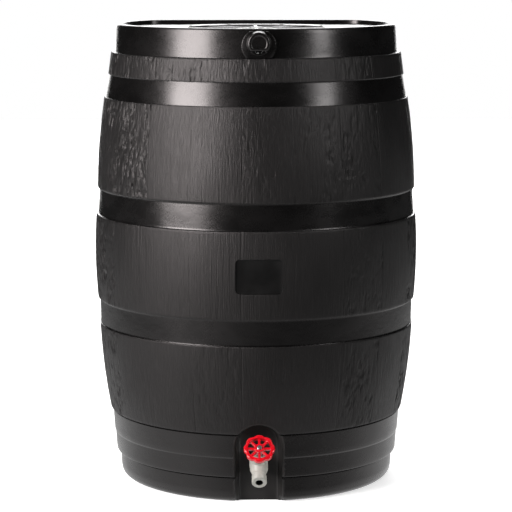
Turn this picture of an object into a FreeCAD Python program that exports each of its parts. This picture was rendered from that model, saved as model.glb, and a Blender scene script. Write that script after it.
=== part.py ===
"""Flat-backed rain barrel with a hose tap, a hooded overflow and a lift-out screen.

Millimetres, +Z up. The origin is on the ground, on the axis of the barrel's round front.
The front faces -Y, where the tap and the overflow are, and the flat back faces +Y.
"""

import FreeCAD, Part
import math
import os
import Sketcher

PLAIN_SIZES = [
    ("WallThickness", 5.0, "barrel wall"),
    ("StaveBulge", 3.0, "rise of a tall stave's curve above its chord"),
    ("FloorThickness", 10.0, "barrel floor, over the foot recess"),
    ("FootRounding", 15.0, "rounding under the base"),
    ("LipRounding", 4.0, "rounding on the rim's outer edge"),
    ("LipWidth", 11.0, "rim's width around the deck"),
    ("DeckHeight", 843.0, "top of the deck inside the rim"),
    ("FootRecessDepth", 4.0, "ring-shaped recess under the base"),
    ("FootRecessRadius", 188.0, "outer edge of the foot recess"),
    ("FootPadRadius", 60.0, "pad left in the middle of the foot recess"),
    ("DeckCentre", -35.0, "screen and foot recess centre, along Y"),
    ("ScreenSeatRadius", 165.0, "seat for the screen frame"),
    ("ScreenSeatDepth", 3.0, "seat below the deck"),
    ("ScreenOpeningRadius", 140.0, "opening through the deck"),
    ("CollarRadius", 172.0, "thick collar round the opening"),
    ("CollarDepth", 10.0, "collar below the deck's underside"),
    ("LabelWidth", 82.0, "blank label recess"),
    ("LabelBottom", 389.0, "lower edge of the label recess"),
    ("LabelTop", 449.5, "upper edge of the label recess"),
    ("LabelFloorRadius", 300.0, "curved floor of the label recess"),
    ("LabelRounding", 7.0, "corners of the label recess"),
    ("AlcoveFloor", 232.0, "alcove floor in front of the axis"),
    ("AlcoveHalfWidth", 36.5, "half width at the alcove floor"),
    ("AlcoveArchHeight", 106.0, "centre of the alcove's arch"),
    ("AlcoveFlare", 10.0, "outward slope of the alcove's sides, degrees"),
    ("OverflowPadRadius", 30.4, "flat pad on the rim"),
    ("OverflowPadHeight", 820.6, "centre of the flat pad"),
    ("OverflowFace", 266.0, "pad's face in front of the axis"),
    ("OverflowSeat", 258.2, "flat seat inside the wall, in front of the axis"),
    ("OverflowSeatRadius", 19.6, "flat seat inside the wall"),
    ("OverflowHoleHeight", 818.0, "overflow hole centre"),
    ("OverflowHoleRadius", 12.9, "overflow hole"),
    ("HoodHeight", 825.8, "centre of the hood's round outline"),
    ("HoodFlangeRadius", 21.7, "flange on the pad"),
    ("HoodFlangeThickness", 2.5, "flange on the pad"),
    ("HoodRadius", 21.2, "hood at its foot"),
    ("HoodTaper", 8.0, "slope of the hood's sides, degrees"),
    ("HoodDepth", 13.0, "hood in front of its flange"),
    ("HoodCutHeight", 811.0, "hood's open lower edge"),
    ("HoodWall", 2.4, "hood's wall"),
    ("HoodRounding", 3.2, "front edge of the hood"),
    ("HoodBead", 5.5, "raised bead round the hood's face"),
    ("HoodBeadRise", 1.2, "bead in front of the face"),
    ("NeckRadius", 12.5, "threaded neck of the overflow"),
    ("NeckBoreRadius", 10.0, "waterway through the neck"),
    ("NeckLength", 28.0, "neck behind the flange"),
    ("OverflowGasketThickness", 2.0, "gasket between wall and nut"),
    ("OverflowNutRadius", 19.0, "overflow nut across its corners"),
    ("OverflowNutThickness", 8.0, "overflow nut"),
    ("TapOut", 270.0, "crossing of the tap's axes, in front of the barrel's axis"),
    ("TapHeight", 75.0, "crossing of the tap's axes, above the ground"),
    ("StemTilt", 45.0, "stem axis from upright, towards the front, degrees"),
    ("SpoutTilt", 122.0, "spout axis from upright, towards the front, degrees"),
    ("InletTilt", -90.0, "inlet axis from upright, towards the back, degrees"),
    ("TapHoleRadius", 13.6, "hole for the tap's inlet"),
    ("InletRadius", 13.3, "inlet thread"),
    ("InletBoreRadius", 8.0, "inlet waterway"),
    ("InletBoreEnd", 18.0, "end of the inlet waterway, behind the crossing"),
    ("InletLength", 65.0, "inlet's inner end, behind the crossing"),
    ("InletHexRadius", 19.0, "six-sided grip, from its middle to a corner"),
    ("InletHexThickness", 22.0, "six-sided grip for a spanner, outside the alcove floor"),
    ("InletNeckRadius", 12.5, "neck between grip and bulb"),
    ("TapWasherThickness", 3.0, "rubber washers on both sides of the wall"),
    ("TapWasherRadius", 17.5, "rubber washers on both sides of the wall"),
    ("TapNutRadius", 21.0, "lock nut across its corners"),
    ("TapNutThickness", 8.0, "lock nut"),
    ("BulbRadius", 15.0, "round middle of the tap"),
    ("SocketRadius", 13.0, "socket that takes the bonnet"),
    ("SocketTop", 24.0, "socket's face along the stem axis"),
    ("ChamberRadius", 9.0, "valve chamber"),
    ("SeatDepth", 6.0, "valve seat below the crossing, along the stem axis"),
    ("SeatHoleRadius", 5.0, "hole through the valve seat"),
    ("SeatHoleEnd", 12.0, "end of the waterway under the seat"),
    ("LinkBoreRadius", 4.0, "waterway from the inlet to under the seat"),
    ("LinkBoreDrop", 6.5, "link waterway below the crossing"),
    ("LinkBoreStart", 8.0, "link waterway's start behind the crossing"),
    ("BonnetThreadRadius", 10.5, "thread between socket and bonnet"),
    ("BonnetBottom", 14.0, "bonnet's lower end along the stem axis"),
    ("SpoutShoulderRadius", 16.2, "wide root of the spout"),
    ("SpoutShoulderEnd", 12.0, "end of the wide root along the spout axis"),
    ("SpoutShoulderTaper", 13.0, "length of the cone from root to neck"),
    ("SpoutNeckRadius", 11.5, "spout behind its thread"),
    ("SpoutThreadRadius", 13.45, "three-quarter-inch garden hose thread, outside"),
    ("SpoutThreadRoot", 12.5, "the same thread at its root"),
    ("SpoutThreadStart", 29.6, "first thread ridge along the spout axis"),
    ("SpoutThreadPitch", 2.2, "eleven and a half ridges to the inch"),
    ("SpoutBoreRadius", 6.2, "waterway through the spout"),
    ("BonnetGasketThickness", 1.2, "gasket under the bonnet"),
    ("BonnetHexRadius", 14.0, "bonnet across its corners"),
    ("BonnetHexTop", 32.0, "top of the bonnet's hexagon along the stem axis"),
    ("BonnetTop", 39.0, "bonnet's upper end along the stem axis"),
    ("BonnetNeckRadius", 8.6, "bonnet's thread for the packing nut"),
    ("StemThreadBore", 5.58, "bonnet's thread for the stem"),
    ("PackingFloor", 33.5, "packing recess floor along the stem axis"),
    ("PackingRadius", 6.6, "packing"),
    ("PackingThickness", 4.6, "packing"),
    ("PackingNutRadius", 11.2, "packing nut across its corners"),
    ("PackingNutBottom", 33.0, "packing nut's lower end along the stem axis"),
    ("PackingNutTop", 43.0, "packing nut's upper end along the stem axis"),
    ("StemRadius", 4.0, "valve stem"),
    ("StemThreadRadius", 5.5, "stem's thread"),
    ("StemThreadLength", 10.0, "stem's thread"),
    ("StemFit", 0.06, "running clearance round the stem"),
    ("StemTop", 57.0, "stem's upper end along its axis"),
    ("ThreadGap", 0.1, "gap left between mating threads"),
    ("SeatGap", 0.05, "gap between washer and seat when shut"),
    ("SeatWasherRadius", 7.0, "seat washer"),
    ("SeatWasherThickness", 3.0, "seat washer"),
    ("DiscRadius", 8.2, "disc holder"),
    ("DiscTop", 4.5, "disc holder's upper end along the stem axis"),
    ("DiscPocketFloor", 0.5, "floor of the holder's stem pocket"),
    ("WheelRadius", 28.0, "handwheel over its lobes"),
    ("WheelValleyRadius", 25.2, "handwheel between its lobes"),
    ("WheelLobes", 8.0, "lobes and spokes"),
    ("WheelMiddle", 52.0, "handwheel's middle along the stem axis"),
    ("WheelRimThickness", 9.0, "handwheel's rim"),
    ("WheelRimRadius", 20.5, "inside of the rim"),
    ("WheelWebThickness", 4.5, "spokes"),
    ("SpokeWidth", 4.4, "spokes"),
    ("HubRadius", 8.5, "handwheel's hub"),
    ("HubBottom", 45.5, "hub's lower end along the stem axis"),
    ("WheelRounding", 2.6, "rim's rounding"),
    ("WheelScrewRadius", 1.9, "screw in the stem's end"),
    ("WheelScrewHeadRadius", 4.0, "screw's slotted head"),
    ("WheelScrewHeadHeight", 2.2, "screw's slotted head"),
    ("WheelScrewLength", 12.0, "screw under its head"),
    ("WheelScrewSlot", 1.1, "slot in the head"),
    ("WheelWasherRadius", 4.6, "washer under the screw"),
    ("WheelWasherThickness", 1.0, "washer under the screw"),
    ("HeadChamfer", 0.7, "sloped edge of the screw heads"),
    ("ScreenFrameRadius", 164.5, "screen frame"),
    ("ScreenFrameInner", 127.0, "inside of the frame's ring"),
    ("ScreenFrameThickness", 4.6, "frame's ring and ribs"),
    ("ScreenRest", 0.2, "gap between frame and seat"),
    ("ScreenRibs", 8.0, "frame's ribs"),
    ("ScreenRibWidth", 6.0, "frame's ribs"),
    ("ScreenHubRadius", 14.0, "frame's hub"),
    ("ScreenMeshRadius", 136.0, "mesh disc"),
    ("ScreenMeshThickness", 0.8, "mesh disc"),
    ("MeshRingThickness", 3.0, "retaining ring under the mesh"),
    ("ScreenScrewCircle", 132.0, "screws' circle"),
    ("ScreenScrewRadius", 1.5, "screws"),
    ("ScreenScrewHeadRadius", 3.2, "screws' heads"),
    ("ScreenScrewHeadHeight", 1.6, "screws' heads"),
    ("BodyReach", 400.0, "clear past every face of the barrel"),
]

# Bands of the barrel wall from the ground up: name, radius at the foot and head, top height, back plane.
BANDS = [
    ("Base", 256.0, 258.0, 48.5, 162.0),
    ("FootHoop", 266.5, 272.0, 129.5, 168.0),
    ("LowStave", 276.0, 295.5, 293.0, 175.0),
    ("LowHoop", 293.5, 294.3, 340.0, 168.0),
    ("MidStave", 298.8, 300.5, 499.0, 175.0),
    ("MidHoop", 296.0, 294.0, 547.0, 168.0),
    ("HighStave", 297.6, 283.3, 716.0, 175.0),
    ("HighHoop", 281.0, 273.5, 758.0, 168.0),
    ("CrownStave", 275.5, 270.0, 799.0, 175.0),
    ("Rim", 263.0, 260.0, 851.0, 168.0),
]
BULGED_BANDS = ("LowStave", "MidStave", "HighStave")
THREAD_RIDGES = 7
SPOUT_END = "SpoutThreadStart + %d * SpoutThreadPitch" % THREAD_RIDGES

doc = FreeCAD.newDocument("rain_barrel")
sizes = doc.addObject("Spreadsheet::Sheet", "Sizes")
sub_parts = []


def fill_sheet():
    """Write every driving dimension to the sheet, each under its own alias."""
    rows = list(PLAIN_SIZES)
    for name, foot, head, top, back in BANDS:
        rows.append((name + "FootRadius", foot, "band radius at its foot"))
        rows.append((name + "HeadRadius", head, "band radius at its head"))
        rows.append((name + "Top", top, "band's top height"))
        rows.append((name + "Back", back, "band's flat back, behind the axis"))
    for row, (alias, number, meaning) in enumerate(rows, start=1):
        sizes.set("A%d" % row, meaning)
        sizes.set("B%d" % row, repr(number))
        sizes.setAlias("B%d" % row, alias)
    doc.recompute()
    return {alias for alias, _, _ in rows}


aliases = fill_sheet()


def bound(expression):
    """Turn a formula over alias names into an expression over the sheet."""
    words = []
    word = ""
    for letter in str(expression) + " ":
        if letter.isalnum() or letter == "_":
            word += letter
            continue
        words.append("Sizes." + word if word in aliases else word)
        words.append(letter)
        word = ""
    return "".join(words).strip()


def number(expression):
    """Work out a formula over alias names as a plain number."""
    return float(sizes.evalExpression(bound(expression)))


def bind(thing, **formulas):
    """Bind a thing's properties to formulas over alias names."""
    for name, formula in formulas.items():
        thing.setExpression(name, bound(formula))


def sub_part(thing, label):
    """Name a finished sub-part, which also names its file."""
    thing.Label = label
    sub_parts.append(thing)
    return thing


# ---------------------------------------------------------------- sketches and features

def new_body(name):
    return doc.addObject("PartDesign::Body", name)


def sketch_on(body, name, role, offset="0"):
    """Attach a sketch to one of the body's own planes, moved along the plane's normal."""
    plane = [item for item in body.Origin.OriginFeatures if item.Role == role][0]
    sketch = body.newObject("Sketcher::SketchObject", name)
    sketch.AttachmentSupport = [(plane, "")]
    sketch.MapMode = "FlatFace"
    sketch.setExpression("AttachmentOffset.Base.z", bound(offset))
    return sketch


def pin_point(sketch, geometry, end, x, y):
    """Hold a point of the sketch at x and y from the sketch's origin."""
    for kind, formula in (("DistanceX", x), ("DistanceY", y)):
        index = sketch.addConstraint(Sketcher.Constraint(kind, -1, 1, geometry, end, number(formula)))
        sketch.setExpression("Constraints[%d]" % index, bound(formula))


def draw_outline(sketch, corners):
    """Draw a closed anticlockwise outline.

    A corner is (x, y), or (x, y, radius) where the edge that starts there bends outward.
    """
    count = len(corners)
    starts = [(number(corner[0]), number(corner[1])) for corner in corners]
    edges = []
    for index, corner in enumerate(corners):
        first = FreeCAD.Vector(*starts[index], 0)
        last = FreeCAD.Vector(*starts[(index + 1) % count], 0)
        if len(corner) == 2:
            edge = sketch.addGeometry(Part.LineSegment(first, last))
            edges.append((edge, 1, 2))
            continue
        radius = number(corner[2])
        chord = last - first
        outward = FreeCAD.Vector(chord.y, -chord.x, 0).normalize()
        rise = radius - math.sqrt(max(radius ** 2 - (chord.Length / 2) ** 2, 0))
        middle = (first + last) / 2 + outward * rise
        edge = sketch.addGeometry(Part.ArcOfCircle(first, middle, last))
        gaps = [sketch.getPoint(edge, end).distanceToPoint(first) for end in (1, 2)]
        forward = gaps[0] < gaps[1]
        edges.append((edge, 1, 2) if forward else (edge, 2, 1))
        limit = sketch.addConstraint(Sketcher.Constraint("Radius", edge, radius))
        sketch.setExpression("Constraints[%d]" % limit, bound(corner[2]))
    for index, (edge, start, end) in enumerate(edges):
        following = edges[(index + 1) % count]
        sketch.addConstraint(Sketcher.Constraint("Coincident", edge, end, following[0], following[1]))
        pin_point(sketch, edge, start, corners[index][0], corners[index][1])


def draw_circle(sketch, x, y, radius):
    centre = FreeCAD.Vector(number(x), number(y), 0)
    circle = sketch.addGeometry(Part.Circle(centre, FreeCAD.Vector(0, 0, 1), number(radius)))
    pin_point(sketch, circle, 3, x, y)
    index = sketch.addConstraint(Sketcher.Constraint("Radius", circle, number(radius)))
    sketch.setExpression("Constraints[%d]" % index, bound(radius))


def bulge_radius(x_first, y_first, x_last, y_last, bulge):
    """Formula for the radius of an arc that rises by bulge above its chord."""
    chord_squared = "((%s - (%s))^2 + (%s - (%s))^2)" % (x_last, x_first, y_last, y_first)
    return "%s / (8 * %s) + %s / 2" % (chord_squared, bulge, bulge)


def revolve(body, name, sketch):
    feature = body.newObject("PartDesign::Revolution", name)
    feature.Profile = sketch
    feature.ReferenceAxis = (sketch, ["V_Axis"])
    feature.Angle = 360
    doc.recompute()
    return feature


def pad(body, name, sketch, length, taper="0"):
    """Add material along the sketch's normal."""
    feature = body.newObject("PartDesign::Pad", name)
    feature.Profile = sketch
    bind(feature, Length=length, TaperAngle=taper)
    doc.recompute()
    return feature


def pocket(body, name, sketch, length, along_normal=False, taper="0"):
    """Cut against the sketch's normal, or along it, and make sure that something is cut."""
    before = body.Shape.Volume
    feature = body.newObject("PartDesign::Pocket", name)
    feature.Profile = sketch
    feature.Reversed = along_normal
    bind(feature, Length=length, TaperAngle=taper)
    doc.recompute()
    if body.Shape.Volume >= before:
        raise RuntimeError(name + " cuts nothing")
    return feature


def edges_where(shape, test):
    return ["Edge%d" % index for index, edge in enumerate(shape.Edges, start=1) if test(edge)]


def fillet(body, name, base, radius, test):
    """Round the edges of a feature that pass a test."""
    edges = edges_where(base.Shape, test)
    if not edges:
        raise RuntimeError(name + " finds no edge")
    feature = body.newObject("PartDesign::Fillet", name)
    feature.Base = (base, edges)
    bind(feature, Radius=radius)
    doc.recompute()
    return feature


def repeat_round(body, name, feature, sketch, count):
    """Repeat a feature round the sketch's normal."""
    pattern = body.newObject("PartDesign::PolarPattern", name)
    pattern.Originals = [feature]
    pattern.Axis = (sketch, ["N_Axis"])
    pattern.Angle = 360
    bind(pattern, Occurrences=count)
    body.Tip = pattern
    doc.recompute()
    return pattern


def turned_body(label, corners, tilt=None):
    """A body of revolution. Its corners are (radius, height along its axis)."""
    body = new_body(label)
    sketch = sketch_on(body, label + "_section", "XZ_Plane")
    draw_outline(sketch, corners)
    revolve(body, label + "_turning", sketch)
    if tilt:
        on_tap(body, tilt)
    return body


def ring_corners(inner, outer, bottom, top):
    return [(inner, bottom), (outer, bottom), (outer, top), (inner, top)]


def on_tap(thing, tilt, along="0"):
    """Place a thing on one of the tap's axes, a distance along it from their crossing."""
    thing.Placement = FreeCAD.Placement(FreeCAD.Vector(), FreeCAD.Rotation(FreeCAD.Vector(1, 0, 0), 1))
    thing.setExpression("Placement.Rotation.Angle", bound(tilt))
    thing.setExpression("Placement.Base.y", bound("-TapOut - (%s) * sin(%s * 1 deg)" % (along, tilt)))
    thing.setExpression("Placement.Base.z", bound("TapHeight + (%s) * cos(%s * 1 deg)" % (along, tilt)))


def at_y_z(thing, y, z, angle=0):
    """Place a thing at y and z, turned about X by the angle."""
    thing.Placement = FreeCAD.Placement(FreeCAD.Vector(), FreeCAD.Rotation(FreeCAD.Vector(1, 0, 0), angle))
    thing.setExpression("Placement.Base.y", bound(y))
    thing.setExpression("Placement.Base.z", bound(z))


def cylinder(name, radius, height):
    rod = doc.addObject("Part::Cylinder", name)
    bind(rod, Radius=radius, Height=height)
    return rod


def hexagon(name, circumradius, height):
    prism = doc.addObject("Part::Prism", name)
    prism.Polygon = 6
    bind(prism, Circumradius=circumradius, Height=height)
    return prism


def fuse(name, pieces):
    joined = doc.addObject("Part::MultiFuse", name)
    joined.Shapes = pieces
    joined.Refine = True
    return joined


def cut(name, base, tool):
    result = doc.addObject("Part::Cut", name)
    result.Base = base
    result.Tool = tool
    return result


# ---------------------------------------------------------------- barrel shell

def band_corners(side, inset):
    """Corners up a stepped side of the barrel, moved in from the outer face by the inset.

    The side is "Radius" for the turned wall or "Back" for the flat back. A ledge that faces up moves
    down with the inset, and one that faces down moves up, so the wall keeps its thickness round them.
    """
    corners = []
    for index, (name, foot, head, _, back) in enumerate(BANDS):
        first, last = (foot, head) if side == "Radius" else (back, back)
        low = name + ("FootRadius" if side == "Radius" else "Back") + " - " + inset
        high = name + ("HeadRadius" if side == "Radius" else "Back") + " - " + inset
        if index == 0:
            bottom = "0"
        else:
            shift = "+" if first > previous_head else "-"
            bottom = "%sTop %s %s" % (BANDS[index - 1][0], shift, inset)
        if index + 1 < len(BANDS):
            following = BANDS[index + 1][1] if side == "Radius" else BANDS[index + 1][4]
            shift = "+" if following > last else "-"
            top = "%sTop %s %s" % (name, shift, inset)
        else:
            top = name + "Top"
        if side == "Radius" and name in BULGED_BANDS:
            corners.append((low, bottom, bulge_radius(low, bottom, high, top, "StaveBulge")))
        else:
            corners.append((low, bottom))
        corners.append((high, top))
        previous_head = last
    return corners


def outer_section():
    """Half section of the outside, with rounded foot and lip."""
    corners = band_corners("Radius", "0")
    foot, lip = corners[0], corners[-1]
    rounded_foot = [("0", "0"), (foot[0] + " - FootRounding", "0", "FootRounding"), (foot[0], "FootRounding")]
    rounded_lip = [(lip[0], lip[1] + " - LipRounding", "LipRounding"), (lip[0] + " - LipRounding", lip[1])]
    return rounded_foot + corners[1:-1] + rounded_lip + [("0", "RimTop")]


def inner_section():
    """Half section of the hollow, from the floor to the deck's underside."""
    ceiling = "DeckHeight - WallThickness"
    corners = band_corners("Radius", "WallThickness")
    first, last = corners[0], corners[-1]
    return [("0", "FloorThickness"), (first[0], "FloorThickness")] + corners[1:-1] + [
        (last[0], ceiling), ("0", ceiling)]


def cut_flat_back(body, inset):
    """Trim the turned solid to its stepped flat back."""
    sketch = sketch_on(body, body.Name + "_back_section", "YZ_Plane", "-BodyReach")
    steps = band_corners("Back", inset)
    lowest = (steps[0][0], "-1")
    highest = (steps[-1][0], "RimTop + 1")
    far_side = [("BodyReach", "-1"), ("BodyReach", "RimTop + 1")]
    draw_outline(sketch, far_side + [highest] + steps[-2:0:-1] + [lowest])
    pocket(body, body.Name + "_back", sketch, "2 * BodyReach", along_normal=True)


def arch_outline(inset):
    half = "AlcoveHalfWidth + " + inset
    arch = ("0", "AlcoveArchHeight + " + half)
    return [
        ("-(%s)" % half, "-1"),
        (half, "-1"),
        (half, "AlcoveArchHeight", half),
        (arch[0], arch[1], half),
        ("-(%s)" % half, "AlcoveArchHeight"),
    ]


def cut_alcove(body, inset):
    """Cut the flared arch that the tap stands in, from its floor out to the front."""
    sketch = sketch_on(body, body.Name + "_alcove_outline", "XZ_Plane", "AlcoveFloor - " + inset)
    draw_outline(sketch, arch_outline(inset))
    depth = "BodyReach - AlcoveFloor"
    pocket(body, body.Name + "_alcove", sketch, depth, along_normal=True, taper="AlcoveFlare")


def add_overflow_pad(body):
    """Flat round pad on the rim, level with the crown stave's ledge below and cut off near the rim's top."""
    sketch = sketch_on(body, "overflow_pad_outline", "XZ_Plane", "AlcoveFloor")
    low = "CrownStaveTop - 1"
    high = "RimTop - LipRounding"
    low_half = "sqrt(OverflowPadRadius^2 - (%s - OverflowPadHeight)^2)" % low
    high_half = "sqrt(OverflowPadRadius^2 - (%s - OverflowPadHeight)^2)" % high
    draw_outline(sketch, [
        ("-" + low_half, low),
        (low_half, low, "OverflowPadRadius"),
        (high_half, high),
        ("-" + high_half, high, "OverflowPadRadius"),
    ])
    pad(body, "overflow_pad", sketch, "OverflowFace - AlcoveFloor")


def cut_deck(body):
    """Recess the deck inside the rim, then the screen's seat and its opening."""
    radius = "(RimHeadRadius - LipWidth)"
    back = "(RimBack - LipWidth)"
    half = "sqrt(%s^2 - %s^2)" % (radius, back)
    sketch = sketch_on(body, "deck_outline", "XY_Plane", "RimTop")
    draw_outline(sketch, [
        ("-" + half, back, radius),
        ("0", "-" + radius, radius),
        (half, back),
    ])
    pocket(body, "deck", sketch, "RimTop - DeckHeight")
    seat = sketch_on(body, "screen_seat_outline", "XY_Plane", "DeckHeight")
    draw_circle(seat, "0", "DeckCentre", "ScreenSeatRadius")
    pocket(body, "screen_seat", seat, "ScreenSeatDepth")
    opening = sketch_on(body, "screen_opening_outline", "XY_Plane", "DeckHeight")
    draw_circle(opening, "0", "DeckCentre", "ScreenOpeningRadius")
    pocket(body, "screen_opening", opening, "ScreenSeatDepth + WallThickness + 2 * CollarDepth")


def cut_label_recess(body):
    """Shallow blank recess that follows the barrel's curve, with rounded corners."""
    sketch = sketch_on(body, "label_section", "YZ_Plane")
    draw_outline(sketch, [
        ("-MidStaveHeadRadius - 10", "LabelBottom"),
        ("-LabelFloorRadius", "LabelBottom"),
        ("-LabelFloorRadius", "LabelTop"),
        ("-MidStaveHeadRadius - 10", "LabelTop"),
    ])
    before = body.Shape.Volume
    groove = body.newObject("PartDesign::Groove", "label_recess")
    groove.Profile = sketch
    groove.ReferenceAxis = (sketch, ["V_Axis"])
    groove.Midplane = True
    bind(groove, Angle="LabelWidth / LabelFloorRadius * 180 / pi")
    doc.recompute()
    if body.Shape.Volume >= before:
        raise RuntimeError("label_recess cuts nothing")
    middle = (number("LabelBottom") + number("LabelTop")) / 2
    reach = (number("LabelTop") - number("LabelBottom")) / 2
    floor = number("LabelFloorRadius")

    def is_corner(edge):
        place = edge.CenterOfMass
        ends = [math.hypot(vertex.X, vertex.Y) for vertex in edge.Vertexes]
        at_corner = abs(abs(place.z - middle) - reach) < 1
        at_side = abs(abs(place.x) - number("LabelWidth") / 2) < 2
        radial = len(ends) == 2 and abs(min(ends) - floor) < 0.1 and max(ends) > floor + 1
        return at_corner and at_side and radial

    fillet(body, "label_corners", groove, "LabelRounding", is_corner)


def cut_foot_recess(body):
    sketch = sketch_on(body, "foot_recess_outline", "XY_Plane")
    draw_circle(sketch, "0", "DeckCentre", "FootRecessRadius")
    draw_circle(sketch, "0", "DeckCentre", "FootPadRadius")
    pocket(body, "foot_recess", sketch, "FootRecessDepth", along_normal=True)


def cut_front_holes(body):
    """Holes for the tap's inlet and the overflow's neck."""
    tap = sketch_on(body, "tap_hole_outline", "XZ_Plane", "AlcoveFloor")
    draw_circle(tap, "0", "TapHeight", "TapHoleRadius")
    pocket(body, "tap_hole", tap, "3 * WallThickness")
    overflow = sketch_on(body, "overflow_hole_outline", "XZ_Plane", "OverflowFace")
    draw_circle(overflow, "0", "OverflowHoleHeight", "OverflowHoleRadius")
    pocket(body, "overflow_hole", overflow, "5 * WallThickness")


def make_barrel_shell():
    """One hollow moulding: a stepped, turned outside less a hollow that follows it."""
    outside = turned_body("shell_outside", outer_section())
    add_overflow_pad(outside)
    cut_flat_back(outside, "0")
    cut_alcove(outside, "0")
    cut_deck(outside)
    cut_label_recess(outside)
    cut_foot_recess(outside)
    cut_front_holes(outside)

    hollow = turned_body("shell_hollow", inner_section())
    cut_flat_back(hollow, "WallThickness")
    cut_alcove(hollow, "WallThickness")
    collar = sketch_on(hollow, "collar_outline", "XY_Plane", "DeckHeight - WallThickness")
    draw_circle(collar, "0", "DeckCentre", "CollarRadius")
    pocket(hollow, "collar", collar, "CollarDepth")
    seat = sketch_on(hollow, "overflow_seat_outline", "XZ_Plane", "AlcoveFloor")
    draw_circle(seat, "0", "OverflowHoleHeight", "OverflowSeatRadius")
    pad(hollow, "overflow_seat", seat, "OverflowSeat - AlcoveFloor")
    sub_part(cut("shell_moulding", outside, hollow), "barrel_shell")


# ---------------------------------------------------------------- overflow

def hood_outline(radius, lower_edge):
    """A round outline about the hood's centre, cut off level at its lower edge."""
    half = "sqrt((%s)^2 - (HoodHeight - (%s))^2)" % (radius, lower_edge)
    return [
        ("-" + half, lower_edge),
        (half, lower_edge, radius),
        ("0", "HoodHeight + " + radius, radius),
    ]


def make_overflow_fitting():
    """Round flange with a hood that opens downwards, and a threaded neck through the wall."""
    body = new_body("overflow_moulding")
    flange = sketch_on(body, "hood_flange_outline", "XZ_Plane", "OverflowFace")
    draw_circle(flange, "0", "HoodHeight", "HoodFlangeRadius")
    pad(body, "hood_flange", flange, "HoodFlangeThickness")

    front = "OverflowFace + HoodFlangeThickness"
    hood = sketch_on(body, "hood_outline", "XZ_Plane", front)
    draw_outline(hood, hood_outline("HoodRadius", "HoodCutHeight"))
    shape = pad(body, "hood", hood, "HoodDepth", taper="-HoodTaper")
    face = -number(front + " + HoodDepth")
    shape = fillet(body, "hood_edge", shape, "HoodRounding",
                   lambda edge: all(abs(vertex.Y - face) < 0.01 for vertex in edge.Vertexes))

    inner = "(HoodRadius - HoodDepth * tan(HoodTaper * 1 deg) - HoodBead)"
    panel = sketch_on(body, "hood_face_outline", "XZ_Plane", front + " + HoodDepth")
    draw_outline(panel, hood_outline(inner, "HoodCutHeight + HoodBead"))
    pocket(body, "hood_face", panel, "HoodBeadRise")

    hollow = sketch_on(body, "hood_hollow_outline", "XZ_Plane", front)
    draw_outline(hollow, hood_outline("(HoodRadius - HoodWall)", "HoodCutHeight - 3"))
    depth = "HoodDepth - HoodWall - HoodBeadRise"
    pocket(body, "hood_hollow", hollow, depth, along_normal=True, taper="-HoodTaper")

    neck = sketch_on(body, "neck_outline", "XZ_Plane", "OverflowFace - NeckLength")
    draw_circle(neck, "0", "OverflowHoleHeight", "NeckRadius")
    pad(body, "neck", neck, "NeckLength")
    bore = sketch_on(body, "neck_bore_outline", "XZ_Plane", "OverflowFace - NeckLength")
    draw_circle(bore, "0", "OverflowHoleHeight", "NeckBoreRadius")
    pocket(body, "neck_bore", bore, "NeckLength + HoodFlangeThickness", along_normal=True)
    sub_part(body, "overflow_fitting")


def make_overflow_gasket():
    body = new_body("overflow_gasket_ring")
    sketch = sketch_on(body, "overflow_gasket_outline", "XZ_Plane", "OverflowSeat - OverflowGasketThickness")
    draw_circle(sketch, "0", "OverflowHoleHeight", "OverflowNutRadius")
    draw_circle(sketch, "0", "OverflowHoleHeight", "NeckRadius + ThreadGap")
    pad(body, "overflow_gasket_pad", sketch, "OverflowGasketThickness")
    sub_part(body, "overflow_gasket")


def make_overflow_lock_nut():
    blank = hexagon("overflow_nut_blank", "OverflowNutRadius", "OverflowNutThickness")
    bore = cylinder("overflow_nut_bore", "NeckRadius + ThreadGap", "OverflowNutThickness")
    for piece in (blank, bore):
        at_y_z(piece, "-OverflowSeat + OverflowGasketThickness", "OverflowHoleHeight", -90)
    sub_part(cut("overflow_nut", blank, bore), "overflow_lock_nut")


# ---------------------------------------------------------------- tap

def spout_section():
    """Half section of the spout: a wide root, a neck, then hose thread ridges with flat crests."""
    corners = [
        ("0", "0"),
        ("SpoutShoulderRadius - 3", "0"),
        ("SpoutShoulderRadius", "3"),
        ("SpoutShoulderRadius", "SpoutShoulderEnd"),
        ("SpoutNeckRadius", "SpoutShoulderEnd + SpoutShoulderTaper"),
        ("SpoutNeckRadius", "SpoutThreadStart - 1.5"),
    ]
    corners.append(("SpoutThreadRoot", "SpoutThreadStart"))
    for ridge in range(THREAD_RIDGES):
        foot = "SpoutThreadStart + %d * SpoutThreadPitch" % ridge
        corners.append(("SpoutThreadRoot", foot + " + 0.2 * SpoutThreadPitch"))
        corners.append(("SpoutThreadRadius", foot + " + 0.4 * SpoutThreadPitch"))
        corners.append(("SpoutThreadRadius", foot + " + 0.7 * SpoutThreadPitch"))
        corners.append(("SpoutThreadRoot", foot + " + 0.9 * SpoutThreadPitch"))
    corners.append(("SpoutThreadRoot", SPOUT_END))
    corners.append(("0", SPOUT_END))
    return corners


def hexagon_corners(circumradius, first_angle):
    corners = []
    for index in range(6):
        angle = "%d deg" % (first_angle + 60 * index)
        corners.append(("%s * cos(%s)" % (circumradius, angle), "%s * sin(%s)" % (circumradius, angle)))
    return corners


def make_inlet():
    """Neck behind the bulb, a six-sided grip with upright sides, and the thread through the wall."""
    flange_back = "TapOut - AlcoveFloor - TapWasherThickness"
    body = turned_body("inlet", [
        ("0", "0"),
        ("InletNeckRadius", "0"),
        ("InletNeckRadius", flange_back),
        ("InletRadius", flange_back),
        ("InletRadius", "InletLength"),
        ("0", "InletLength"),
    ], "InletTilt")
    flats = sketch_on(body, "inlet_hexagon", "XY_Plane", flange_back + " - InletHexThickness")
    draw_outline(flats, hexagon_corners("InletHexRadius", 30))
    pad(body, "inlet_flange", flats, "InletHexThickness")
    return body


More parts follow.
